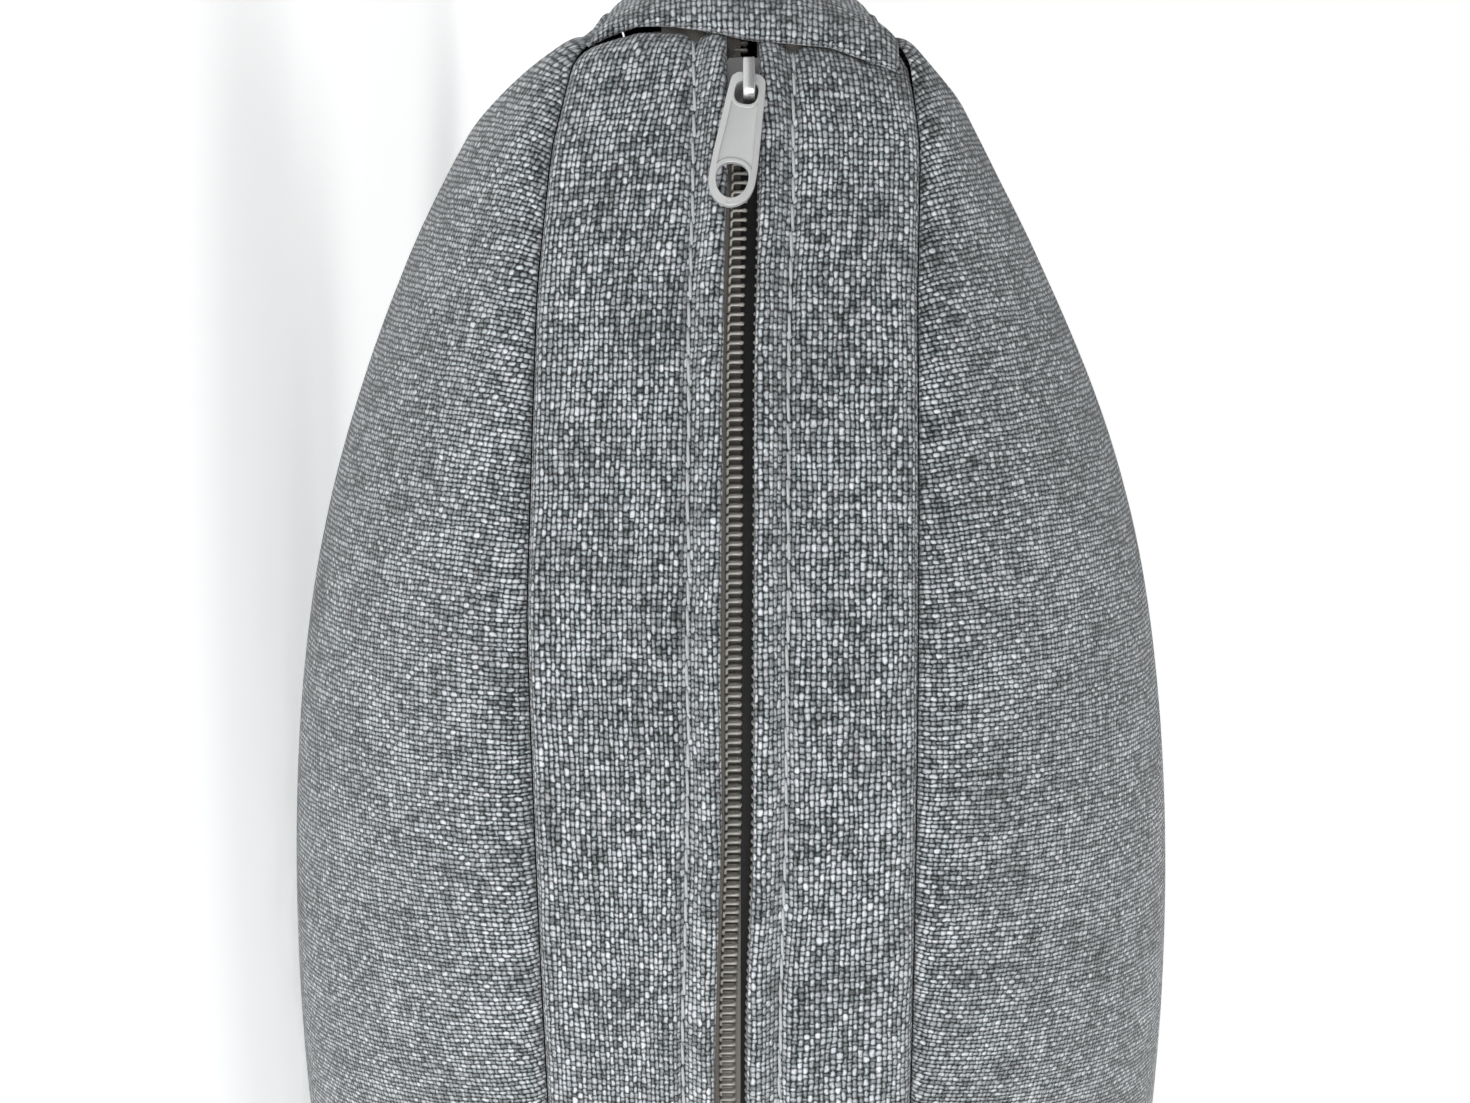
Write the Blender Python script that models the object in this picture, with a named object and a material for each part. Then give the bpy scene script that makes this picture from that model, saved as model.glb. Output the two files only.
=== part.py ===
"""Nursing pillow: a half-moon feeding cushion in a cover with a zip.

The cushion lies flat on its lower panel. X runs across the two horns, the
waist opening faces -Y and Z is up. Sizes are in metres, angles in degrees.
"""
import math

import bmesh
import bpy
from mathutils import Matrix, Vector

MM = 0.001
GAP = 0.3 * MM  # clearance between pieces that touch

# Plan of the cushion, at the seam line of its side wall.
OUTER_RADIUS = 256 * MM
OUTER_START = -22.0  # angle where the right horn's outer corner begins
CORNER_OUTER = 15 * MM
CORNER_INNER = 48 * MM
CORNER_TURN = 66.0
CAP_TURN = 44.0
WAIST_RADIUS = 88 * MM
WAIST_CENTRE_Y = -2 * MM
STEP_ANGLE = 4.0
CORNER_STEPS = 5
CAP_STEPS = 2  # steps in each half of the horn's end
INNER_CORNER_STEPS = 6

# Height of the cushion.
THICKNESS = 161 * MM
WALL_HALF = 31 * MM  # half the height of the side wall
WALL_HALF_TIP = 22 * MM  # the same at the tips of the horns
WALL_TAPER_LENGTH = 45 * MM  # how far from a tip the wall reaches full height
WALL_TAPER_POWER = 0.8
WALL_BULGE = 4 * MM
TAPER_LENGTH = 190 * MM  # how far from a tip the cushion reaches full height
TAPER_POWER = 2.2  # 2 is an ellipse, more is blunter
FABRIC = 1.2 * MM
FLAT_SHARE = 0.2  # share of the width that is level on top and below
DOME_POWER = 0.75
DOME_COLUMNS = (-1.0, -0.78, -0.2, 0.2, 0.78, 1.0)

# The zip. Heights across it are counted from the middle of its coils.
ZIP_Z = 2.9 * MM
ZIP_END_STEPS = 23  # steps of STEP_ANGLE along the outer side
ZIP_CORNER_STEPS = 2  # steps of the corner that the zip also covers
SLOT_UP = 1.4 * MM
SLOT_DOWN = 3.7 * MM
STITCH_FROM_EDGE = 5.3 * MM
HEM = 14.3 * MM
TAPE_WIDTH = 14.0 * MM
TAPE_THICK = 0.5 * MM
COIL_IN = 0.6 * MM
COIL_OUT = 3.0 * MM
COIL_THICK = 1.3 * MM
THREAD = 0.4 * MM

# The slider, its bridge and its pull.
SLIDER_LONG = 10 * MM
SLIDER_WIDE = 9.0 * MM
SLIDER_NARROW = 7.6 * MM
PLATE = 0.9 * MM
BACK_PLATE = 0.8 * MM
RUN = 0.35 * MM  # running clearance of the slider
DIVIDER = 0.6 * MM
BRIDGE_WIDE = 1.9 * MM
BRIDGE_THICK = 0.8 * MM
BRIDGE_FRONT = 3.9 * MM
BRIDGE_REAR = -3.2 * MM
PULL_LONG = 22.0 * MM
PULL_TOP = 5.6 * MM
PULL_BOTTOM = 7.4 * MM
PULL_THICK = 1.3 * MM
PULL_BAR = 0.4 * MM  # pivot bar, ahead of the slider's middle
PULL_TILT = 9.0
EYE_WIDE = 3.7 * MM
EYE_LONG = 3.9 * MM
GRIP_WIDE = 5.0 * MM
GRIP_LONG = 5.8 * MM

# The inner cushion.
SHELL = 0.8 * MM
SHELL_GAP = 0.6 * MM
WALL_GAP = 0.8 * MM
FILL_GAP = 0.3 * MM
CORE_RISE = 0.993  # the inner cushion's domes against the cover's
FILL_RISE = 0.990

# Radial levels of the zip, from the seam line outward.
COIL_TOP = 0.05 * MM + GAP + COIL_THICK
TAPE_TOP = 0.05 * MM
PLATE_TOP = COIL_TOP + GAP + PLATE
LIP_UNDER = PLATE_TOP + RUN
LIP_TOP = LIP_UNDER + 2 * MM
BACK_TOP = TAPE_TOP - TAPE_THICK - RUN
BACK_LOW = BACK_TOP - BACK_PLATE
PULL_MID = LIP_TOP + 0.35 * MM + PULL_THICK / 2
BRIDGE_TOP = PULL_MID + PULL_THICK / 2 + 0.35 * MM + BRIDGE_THICK


# ---------------------------------------------------------------- outline
def heading(angle):
    a = math.radians(angle)
    return Vector((math.cos(a), math.sin(a), 0.0))


def right_of(angle):
    a = math.radians(angle)
    return Vector((math.sin(a), -math.cos(a), 0.0))


def horn_arcs(cap_radius):
    """Centres of the tip's three arcs, the way round from the outer side."""
    h0 = OUTER_START - 90.0
    h1 = h0 - CORNER_TURN
    h2 = h1 - CAP_TURN
    c1 = heading(OUTER_START) * (OUTER_RADIUS - CORNER_OUTER)
    c2 = c1 - right_of(h1) * CORNER_OUTER + right_of(h1) * cap_radius
    c3 = c2 - right_of(h2) * cap_radius + right_of(h2) * CORNER_INNER
    return h0, h1, h2, c1, c2, c3


def cap_miss(radius):
    """How far the horn's inner corner stays off the waist's circle."""
    centre = horn_arcs(radius)[5] - Vector((0.0, WAIST_CENTRE_Y, 0.0))
    return centre.length - WAIST_RADIUS - CORNER_INNER


def fit_cap():
    """Radius of the horn's end that lets its inner corner meet the waist."""
    low = high = 20 * MM
    while cap_miss(high) > 0 and high < 2.0:
        low, high = high, high + 5 * MM
    for _ in range(50):
        mid = (low + high) / 2
        if cap_miss(mid) > 0:
            low = mid
        else:
            high = mid
    return (low + high) / 2


def arc_points(centre, radius, first, turn, steps):
    """Points and outward directions of a right-hand turn."""
    out = []
    for i in range(steps + 1):
        side = right_of(first - turn * i / steps)
        out.append((centre - side * radius, -side))
    return out


def mirrored(points):
    flip = Vector((-1, 1, 1))
    return [(p * flip, n * flip) for p, n in points]


def outline():
    """Stations from the right tip to the left tip, outer and inner side."""
    cap = fit_cap()
    h0, h1, h2, c1, c2, c3 = horn_arcs(cap)
    waist = Vector((0.0, WAIST_CENTRE_Y, 0.0))
    join = c3 - waist
    join_angle = math.degrees(math.atan2(join.y, join.x))
    h3 = join_angle + 90.0
    while h3 > h2:
        h3 -= 360.0
    corner = arc_points(c1, CORNER_OUTER, h0, CORNER_TURN, CORNER_STEPS)
    end = arc_points(c2, cap, h1, CAP_TURN, 2 * CAP_STEPS)
    inner = arc_points(c3, CORNER_INNER, h2, h2 - h3, INNER_CORNER_STEPS)
    outer_right = end[1:CAP_STEPS + 1][::-1] + corner[::-1]
    inner_right = end[CAP_STEPS:-1] + inner
    steps = round((180 - 2 * OUTER_START) / STEP_ANGLE)
    circle = []
    for i in range(1, steps):
        side = heading(OUTER_START + i * STEP_ANGLE)
        circle.append((side * OUTER_RADIUS, side))
    outer = outer_right + circle + mirrored(outer_right)[::-1]
    waist_steps = len(outer) - 1 - 2 * (INNER_CORNER_STEPS + CAP_STEPS)
    span = 180 - 2 * join_angle
    hole = []
    for i in range(1, waist_steps):
        side = heading(join_angle + span * i / waist_steps)
        hole.append((waist + side * WAIST_RADIUS, -side))
    inner_side = inner_right + hole + mirrored(inner_right)[::-1]
    return outer, inner_side


OUTER, INNER = outline()
LAST = len(OUTER) - 1
CIRCLE_AT = CORNER_STEPS + CAP_STEPS  # station where the outer circle begins
ZIP_FIRST = CIRCLE_AT - ZIP_CORNER_STEPS
ZIP_LAST = CIRCLE_AT + ZIP_END_STEPS


def middle(k):
    return (OUTER[k][0] + INNER[k][0]) / 2


def tip_distances():
    """Straight distance of each station's middle from its own tip."""
    out = []
    for k in range(LAST + 1):
        tip = middle(0) if k <= LAST / 2 else middle(LAST)
        out.append((middle(k) - tip).length)
    return out


TIP_DISTANCE = tip_distances()


def wall_half(k):
    """Half the height of the side wall at a station."""
    share = min(TIP_DISTANCE[k] / WALL_TAPER_LENGTH, 1.0)
    return WALL_HALF_TIP + (WALL_HALF - WALL_HALF_TIP) * share ** WALL_TAPER_POWER


def crown(k):
    """Rise of a panel's middle above its seam at a station."""
    share = min(TIP_DISTANCE[k] / TAPER_LENGTH, 1.0)
    fall = 1 - (1 - share) ** TAPER_POWER
    half = THICKNESS / 2 * fall ** (1 / TAPER_POWER)
    return max(half - wall_half(k) - FABRIC, 0.0)


def dome(t):
    t = max(0.0, (abs(t) - FLAT_SHARE) / (1 - FLAT_SHARE))
    return (1 - t * t) ** DOME_POWER


def bulge(k, z):
    """How far the side wall stands out from the seam line at a height."""
    return WALL_BULGE * max(0.0, 1 - (z / wall_half(k)) ** 2)


CENTRE_Y = -(OUTER_RADIUS + WALL_BULGE + min(p.y + n.y * WALL_BULGE for p, n in OUTER)) / 2
ORIGIN = Vector((0.0, CENTRE_Y, THICKNESS / 2))


def at(station, out, z):
    """World position beside a station: distance outward, height from mid."""
    point, normal = station
    return ORIGIN + point + normal * out + Vector((0, 0, z))


# ------------------------------------------------------------ scene set-up
def clear_scene():
    for item in list(bpy.data.objects):
        bpy.data.objects.remove(item, do_unlink=True)
    for mesh in list(bpy.data.meshes):
        bpy.data.meshes.remove(mesh)


def collection(name):
    coll = bpy.data.collections.new(name)
    bpy.context.scene.collection.children.link(coll)
    return coll


def material(name, color, rough, metal=0.0):
    mat = bpy.data.materials.new(name)
    mat.use_nodes = True
    shader = mat.node_tree.nodes["Principled BSDF"]
    shader.inputs["Base Color"].default_value = (*color, 1.0)
    shader.inputs["Roughness"].default_value = rough
    shader.inputs["Metallic"].default_value = metal
    mat.diffuse_color = (*color, 1.0)
    return mat


def empty(name, position, parent=None):
    item = bpy.data.objects.new(name, None)
    item.empty_display_size = 0.02
    item.location = position
    PILLOW.objects.link(item)
    if parent:
        item.parent = parent
        item.matrix_parent_inverse = parent.matrix_basis.inverted()
    bpy.context.view_layer.update()
    return item


def finish(name, mesh, mat, parent, origin=None):
    """Link a mesh as a sub-part, with its origin where it is wanted."""
    item = bpy.data.objects.new(name, mesh)
    mesh.materials.append(mat)
    PILLOW.objects.link(item)
    if origin is not None:
        mesh.transform(Matrix.Translation(-origin))
        item.location = origin
    item.parent = parent
    item.matrix_parent_inverse = parent.matrix_world.inverted()
    bpy.context.view_layer.update()
    return item


class Skin:
    """Collects the faces of a lofted solid and shares equal corners."""

    def __init__(self):
        self.points = []
        self.faces = []
        self.seen = {}

    def point(self, p):
        key = (round(p.x, 8), round(p.y, 8), round(p.z, 8))
        if key not in self.seen:
            self.seen[key] = len(self.points)
            self.points.append(p)
        return self.seen[key]

    def face(self, *corners):
        ids = []
        for p in corners:
            i = self.point(p)
            if i not in ids:
                ids.append(i)
        if len(ids) > 2:
            self.faces.append(ids)

    def strip(self, one, two):
        for a, b, c, d in zip(one, one[1:], two[1:], two):
            self.face(a, b, c)
            self.face(a, c, d)

    def mesh(self, name):
        mesh = bpy.data.meshes.new(name)
        mesh.from_pydata(self.points, [], self.faces)
        bm = bmesh.new()
        bm.from_mesh(mesh)
        bmesh.ops.recalc_face_normals(bm, faces=bm.faces)
        bm.to_mesh(mesh)
        bm.free()
        return mesh


def loft_rings(name, rings):
    """Closed solid through closed rings, with flat ends."""
    skin = Skin()
    closed = [ring + ring[:1] for ring in rings]
    for one, two in zip(closed, closed[1:]):
        skin.strip(one, two)
    mesh = skin.mesh(name)
    bm = bmesh.new()
    bm.from_mesh(mesh)
    bmesh.ops.holes_fill(bm, edges=bm.edges, sides=0)
    bmesh.ops.triangulate(bm, faces=[f for f in bm.faces if len(f.verts) > 4])
    bmesh.ops.recalc_face_normals(bm, faces=bm.faces)
    bm.to_mesh(mesh)
    bm.free()
    return mesh


def loft_sheet(name, upper, lower):
    """Closed solid between two grids of the same size."""
    skin = Skin()
    for one, two in zip(upper, upper[1:]):
        skin.strip(one, two)
    for one, two in zip(lower, lower[1:]):
        skin.strip(one, two)
    for side in (0, -1):
        skin.strip([row[side] for row in upper], [row[side] for row in lower])
    return skin.mesh(name)


# ------------------------------------------------------------- cover
def panel_grid(up, drop):
    rows = []
    for k in range(LAST + 1):
        a, b = OUTER[k][0], INNER[k][0]
        row = []
        for t in DOME_COLUMNS:
            p = ORIGIN + a.lerp(b, (t + 1) / 2)
            p.z += up * (wall_half(k) + FABRIC + crown(k) * dome(t) - drop)
            row.append(p)
        rows.append(row)
    return rows


def make_panel(name, up, mat, parent):
    mesh = loft_sheet(name, panel_grid(up, 0.0), panel_grid(up, FABRIC))
    return finish(name, mesh, mat, parent)


def wall_ring(station, k):
    edge = wall_half(k) - GAP
    half = wall_half(k) / 2
    ring = [at(station, 0, edge)]
    ring.append(at(station, bulge(k, half), half))
    ring.append(at(station, WALL_BULGE, 0))
    ring.append(at(station, bulge(k, half), -half))
    ring.append(at(station, 0, -edge))
    ring.append(at(station, -FABRIC, -edge))
    ring.append(at(station, WALL_BULGE - FABRIC, 0))
    ring.append(at(station, -FABRIC, edge))
    return ring


def nudged(stations, k, toward, gap):
    """A station moved a little along its facet, towards a neighbour."""
    point, normal = stations[k]
    step = stations[toward][0] - point
    return point + step.normalized() * gap, normal


def make_band(mat, parent):
    rings = [wall_ring(nudged(OUTER, ZIP_LAST, ZIP_LAST + 1, GAP), ZIP_LAST)]
    rings += [wall_ring(OUTER[k], k) for k in range(ZIP_LAST + 1, LAST + 1)]
    rings += [wall_ring(INNER[k], k) for k in range(LAST - 1, 0, -1)]
    rings += [wall_ring(OUTER[k], k) for k in range(ZIP_FIRST)]
    last = nudged(OUTER, ZIP_FIRST, ZIP_FIRST - 1, GAP)
    rings.append(wall_ring(last, ZIP_FIRST))
    return finish("side_band", loft_rings("side_band", rings), mat, parent)


def strip_profile(k, up):
    """Corners of a zip strip's section as (height from mid, out)."""
    edge = SLOT_UP if up > 0 else SLOT_DOWN
    stitch = edge + STITCH_FROM_EDGE
    base = up * ZIP_Z
    wall = wall_half(k)
    rim = wall - GAP
    far = (base + HEM + rim) / 2
    side = bulge(k, base + stitch + 4 * MM)
    profile = [(rim, 0.0), (far, bulge(k, far))]
    profile.append((base + stitch + 4 * MM, side))
    profile.append((base + stitch, 3.3 * MM))
    profile.append((base + edge + 2.8 * MM, LIP_TOP - 0.2 * MM))
    profile.append((base + edge + 0.8 * MM, LIP_TOP))
    profile.append((base + edge, LIP_TOP - 0.7 * MM))
    profile.append((base + edge, LIP_UNDER))
    profile.append((base + SLIDER_WIDE / 2 + 0.5 * MM, LIP_UNDER))
    profile.append((base + SLIDER_WIDE / 2 + 1.6 * MM, TAPE_TOP + GAP))
    profile.append((base + HEM, TAPE_TOP + GAP))
    profile.append((base + HEM + 0.4 * MM, bulge(k, base + HEM) - FABRIC))
    profile.append((rim, -FABRIC))
    return [(up * z, out) for z, out in profile]


def zip_stations():
    first = nudged(OUTER, ZIP_FIRST, ZIP_FIRST + 1, GAP)
    last = nudged(OUTER, ZIP_LAST, ZIP_LAST - 1, GAP)
    inner = [OUTER[k] for k in range(ZIP_FIRST + 1, ZIP_LAST)]
    return [first] + inner + [last]


def make_strip(name, up, mat, parent):
    rings = []
    for i, station in enumerate(zip_stations()):
        profile = strip_profile(ZIP_FIRST + i, up)
        rings.append([at(station, out, z) for z, out in profile])
    return finish(name, loft_rings(name, rings), mat, parent)


def make_bar(name, near, far, low, high, mat, parent):
    """A long bar of the zip, between two heights and two levels."""
    rings = []
    for station in zip_stations():
        ring = [at(station, low, near), at(station, high, near)]
        ring += [at(station, high, far), at(station, low, far)]
        rings.append(ring)
    return finish(name, loft_rings(name, rings), mat, parent)


def make_zip(fabric, tape, coil, thread, parent):
    for word, up in (("upper", 1), ("lower", -1)):
        edge = SLOT_UP if up > 0 else SLOT_DOWN
        make_strip("zip_strip_" + word, up, fabric[word], parent)
        near = ZIP_Z + up * (COIL_IN + 0.7 * MM)
        far = ZIP_Z + up * TAPE_WIDTH
        name = "zip_tape_" + word
        make_bar(name, near, far, TAPE_TOP - TAPE_THICK, TAPE_TOP, tape[word], parent)
        near = ZIP_Z + up * COIL_IN
        far = ZIP_Z + up * COIL_OUT
        name = "zip_coil_" + word
        make_bar(name, near, far, TAPE_TOP + GAP, COIL_TOP, coil[word], parent)
        row = ZIP_Z + up * (edge + STITCH_FROM_EDGE)
        low = 3.3 * MM + GAP + 0.35 * THREAD
        name = "topstitch_" + word
        near, far = row - THREAD / 2, row + THREAD / 2
        make_bar(name, near, far, low, low + THREAD, thread[word], parent)


# ------------------------------------------------------- inner cushion
def zip_room(k):
    """Share of the zip's room that the inner cushion leaves, 0 to 1."""
    before = (ZIP_FIRST - 3 - k) / 2
    after = (k - ZIP_LAST - 1) / 2
    return 1 - min(1.0, max(0.0, before, after))


def core_row(k, inset, lift):
    """Outer side, dome and inner side of the upper half at a station."""
    half = wall_half(k)
    free = WALL_BULGE - FABRIC - WALL_GAP
    room = zip_room(k) if k < LAST / 2 else 0.0
    side = free + (BACK_LOW - 0.7 * MM - free) * room
    low = -FABRIC - WALL_GAP
    edge = min(low, side) if room > 0 else low
    height = half - SHELL_GAP - lift
    outer = OUTER[k]
    inner = INNER[k]
    if k in (0, LAST):
        side = free
        edge = low
    row = [at(outer, side - inset, GAP / 2)]
    row.append(at(outer, edge + (side - edge) * 0.4 - inset, height * 0.55))
    a = at(outer, edge - 0.6 * MM - inset, 0)
    b = at(inner, low - 0.6 * MM - inset, 0)
    for t in DOME_COLUMNS:
        p = a.lerp(b, (t + 1) / 2)
        p.z += height + crown(k) * dome(t) * (CORE_RISE if lift == 0 else FILL_RISE)
        row.append(p)
    row.append(at(inner, low + (free - low) * 0.4 - inset, height * 0.55))
    row.append(at(inner, free - inset, GAP / 2))
    return row


def core_stations():
    """Every station near the tips, where heights change fast, then each second."""
    near = CIRCLE_AT + 2
    inside = list(range(near + 2, LAST - near - 1, 2))
    return list(range(near + 1)) + inside + list(range(LAST - near, LAST + 1))


def flipped(row):
    mid = ORIGIN.z
    return [Vector((p.x, p.y, 2 * mid - p.z)) for p in row]


def make_shell(name, up, mat, parent):
    over = [core_row(k, 0.0, 0.0) for k in core_stations()]
    under = [core_row(k, SHELL, SHELL) for k in core_stations()]
    if up < 0:
        over = [flipped(row) for row in over]
        under = [flipped(row) for row in under]
    return finish(name, loft_sheet(name, over, under), mat, parent)


def make_filling(mat, parent):
    inset = SHELL + FILL_GAP
    upper = [core_row(k, inset, inset + 0.2 * MM) for k in core_stations()]
    lower = [flipped(row) for row in upper]
    return finish("filling", loft_sheet("filling", upper, lower), mat, parent)


# ------------------------------------------------------- slider and pull
REST_ANGLE = OUTER_START + math.degrees((SLIDER_LONG / 2 + 1 * MM) / OUTER_RADIUS)
ZIP_CENTRE = ORIGIN + Vector((0, 0, ZIP_Z))


def slider_frame():
    """Axes of the slider: X to the horn's tip, Y down across, Z outward."""
    out = heading(REST_ANGLE)
    along = Vector((math.sin(math.radians(REST_ANGLE)), -math.cos(math.radians(REST_ANGLE)), 0))
    across = out.cross(along)
    frame = Matrix.Identity(4)
    for row in range(3):
        frame[row][0] = along[row]
        frame[row][1] = across[row]
        frame[row][2] = out[row]
        frame[row][3] = (ZIP_CENTRE + out * OUTER_RADIUS)[row]
    return frame


def block(x0, x1, y0, y1, z0, z1):
    """A box as its own temporary mesh object."""
    mesh = bpy.data.meshes.new("block")
    bm = bmesh.new()
    bmesh.ops.create_cube(bm, size=1.0)
    size = Matrix.Diagonal((x1 - x0, y1 - y0, z1 - z0, 1))
    move = Matrix.Translation(((x0 + x1) / 2, (y0 + y1) / 2, (z0 + z1) / 2))
    bm.transform(move @ size)
    bm.to_mesh(mesh)
    bm.free()
    item = bpy.data.objects.new("block", mesh)
    HELPERS.objects.link(item)
    return item


def plate(z0, z1, wide, narrow):
    """A slider plate: wide towards the horn's tip, narrow behind."""
    half = SLIDER_LONG / 2
    outline_points = [(half, wide / 2 - 1.4 * MM), (half - 1.4 * MM, wide / 2)]
    outline_points.append((half - 4.5 * MM, wide / 2 - 0.1 * MM))
    outline_points.append((half - 6.2 * MM, narrow / 2))
    outline_points.append((-half, narrow / 2))
    loop = outline_points + [(x, -y) for x, y in outline_points[::-1]]
    rings = [[Vector((x, y, z)) for x, y in loop] for z in (z0, z1)]
    item = bpy.data.objects.new("plate", loft_rings("plate", rings))
    HELPERS.objects.link(item)
    return item


def joined(base, others):
    """Union of temporary objects, returned as one mesh."""
    for other in others:
        mod = base.modifiers.new("join", "BOOLEAN")
        mod.operation = "UNION"
        mod.solver = "EXACT"
        mod.object = other
    bpy.context.view_layer.update()
    graph = bpy.context.evaluated_depsgraph_get()
    mesh = bpy.data.meshes.new_from_object(base.evaluated_get(graph))
    for item in [base] + others:
        bpy.data.objects.remove(item, do_unlink=True)
    return mesh


def make_slider_body(frame, mat, parent):
    flange = 0.6 * MM
    low = TAPE_TOP + RUN + 0.3 * MM
    top = plate(COIL_TOP + GAP, PLATE_TOP, SLIDER_WIDE, SLIDER_NARROW)
    back = plate(BACK_LOW, BACK_TOP, SLIDER_WIDE - 0.6 * MM, SLIDER_NARROW - 0.4 * MM)
    half = SLIDER_LONG / 2
    side = SLIDER_NARROW / 2
    right = block(-half + 0.3 * MM, half - 2 * MM, side - flange, side - 0.02 * MM, low, PLATE_TOP - 0.2 * MM)
    left = block(-half + 0.3 * MM, half - 2 * MM, -side + 0.02 * MM, flange - side, low, PLATE_TOP - 0.2 * MM)
    x0 = half - 3.4 * MM
    blade = block(x0, half - 0.6 * MM, -DIVIDER / 2, DIVIDER / 2, BACK_LOW + 0.1 * MM, PLATE_TOP - 0.1 * MM)
    mesh = joined(top, [right, left, blade, back])
    mesh.transform(frame)
    return finish("slider_body", mesh, mat, parent, parent.location.copy())


def make_bridge(frame, mat, parent):
    """Flat strap that springs from the body, over the pull's bar and back."""
    foot = PLATE_TOP + GAP
    top = BRIDGE_TOP
    thick = BRIDGE_THICK
    outer = [(BRIDGE_FRONT, foot), (BRIDGE_FRONT, top - 1.9 * MM)]
    outer += [(BRIDGE_FRONT - 0.5 * MM, top - 0.7 * MM), (BRIDGE_FRONT - 1.7 * MM, top)]
    outer += [(BRIDGE_REAR + 1.9 * MM, top), (BRIDGE_REAR + 0.6 * MM, top - 0.8 * MM)]
    outer += [(BRIDGE_REAR, top - 2.1 * MM), (BRIDGE_REAR, foot)]
    inner = [(BRIDGE_REAR + thick, foot), (BRIDGE_REAR + thick, top - 2.3 * MM)]
    inner += [(BRIDGE_REAR + thick + 0.4 * MM, top - 1.3 * MM)]
    inner += [(BRIDGE_REAR + 2.0 * MM, top - thick), (BRIDGE_FRONT - 1.8 * MM, top - thick)]
    inner += [(BRIDGE_FRONT - thick - 0.3 * MM, top - 1.2 * MM)]
    inner += [(BRIDGE_FRONT - thick, top - 2.1 * MM), (BRIDGE_FRONT - thick, foot)]
    rings = []
    for y in (-BRIDGE_WIDE / 2, BRIDGE_WIDE / 2):
        rings.append([Vector((x, y, z)) for x, z in outer + inner])
    mesh = loft_rings("slider_bridge", rings)
    mesh.transform(frame)
    return finish("slider_bridge", mesh, mat, parent, parent.location.copy())


def rounded(value, power):
    return math.copysign(abs(value) ** power, value)


def oval(cx, cy, half_x, half_y, count, power=1.0):
    """An ellipse, squarer for a power under 1."""
    out = []
    for i in range(count):
        a = 2 * math.pi * (i + 0.5) / count
        x = cx + half_x * rounded(math.cos(a), power)
        out.append((x, cy + half_y * rounded(math.sin(a), power)))
    return out


def pull_outline():
    """Plan of the pull, its bar at the origin and its grip along -X."""
    start = PULL_THICK / 2
    end = start - PULL_LONG
    top = PULL_TOP / 2
    low = PULL_BOTTOM / 2
    side = [(start, top - 1.3 * MM), (start - 0.5 * MM, top - 0.5 * MM)]
    side += [(start - 1.6 * MM, top), (end + 5.0 * MM, low)]
    side += [(end + 2.2 * MM, low - 0.35 * MM), (end + 0.7 * MM, low - 1.5 * MM)]
    side += [(end, low - 2.9 * MM)]
    return side + [(x, -y) for x, y in side[::-1]]


def make_pull(frame, mat, parent):
    curve = bpy.data.curves.new("pull", "CURVE")
    curve.dimensions = "2D"
    curve.fill_mode = "BOTH"
    curve.extrude = PULL_THICK / 2 - 0.15 * MM
    curve.bevel_depth = 0.15 * MM
    curve.bevel_resolution = 0
    curve.offset = -0.15 * MM
    end = PULL_THICK / 2 - PULL_LONG
    eye_x = -PULL_THICK / 2 - EYE_LONG / 2
    grip_x = end + 1.3 * MM + GRIP_LONG / 2
    loops = [pull_outline()]
    loops.append(oval(eye_x, 0, EYE_LONG / 2, EYE_WIDE / 2, 16, 0.6))
    loops.append(oval(grip_x, 0, GRIP_LONG / 2, GRIP_WIDE / 2, 16))
    for loop in loops:
        spline = curve.splines.new("POLY")
        spline.points.add(len(loop) - 1)
        for point, (x, y) in zip(spline.points, loop):
            point.co = (x, y, 0, 1)
        spline.use_cyclic_u = True
    item = bpy.data.objects.new("pull_curve", curve)
    HELPERS.objects.link(item)
    bpy.context.view_layer.update()
    graph = bpy.context.evaluated_depsgraph_get()
    mesh = bpy.data.meshes.new_from_object(item.evaluated_get(graph))
    bpy.data.objects.remove(item, do_unlink=True)
    bm = bmesh.new()
    bm.from_mesh(mesh)
    bmesh.ops.remove_doubles(bm, verts=bm.verts, dist=0.00001)
    bmesh.ops.recalc_face_normals(bm, faces=bm.faces)
    bm.to_mesh(mesh)
    bm.free()
    tilt = Matrix.Rotation(-math.radians(PULL_TILT), 4, "Z")
    place = Matrix.Translation((PULL_BAR, 0, PULL_MID))
    mesh.transform(frame @ place @ tilt)
    return finish("pull_tab", mesh, mat, parent, parent.location.copy())


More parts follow.
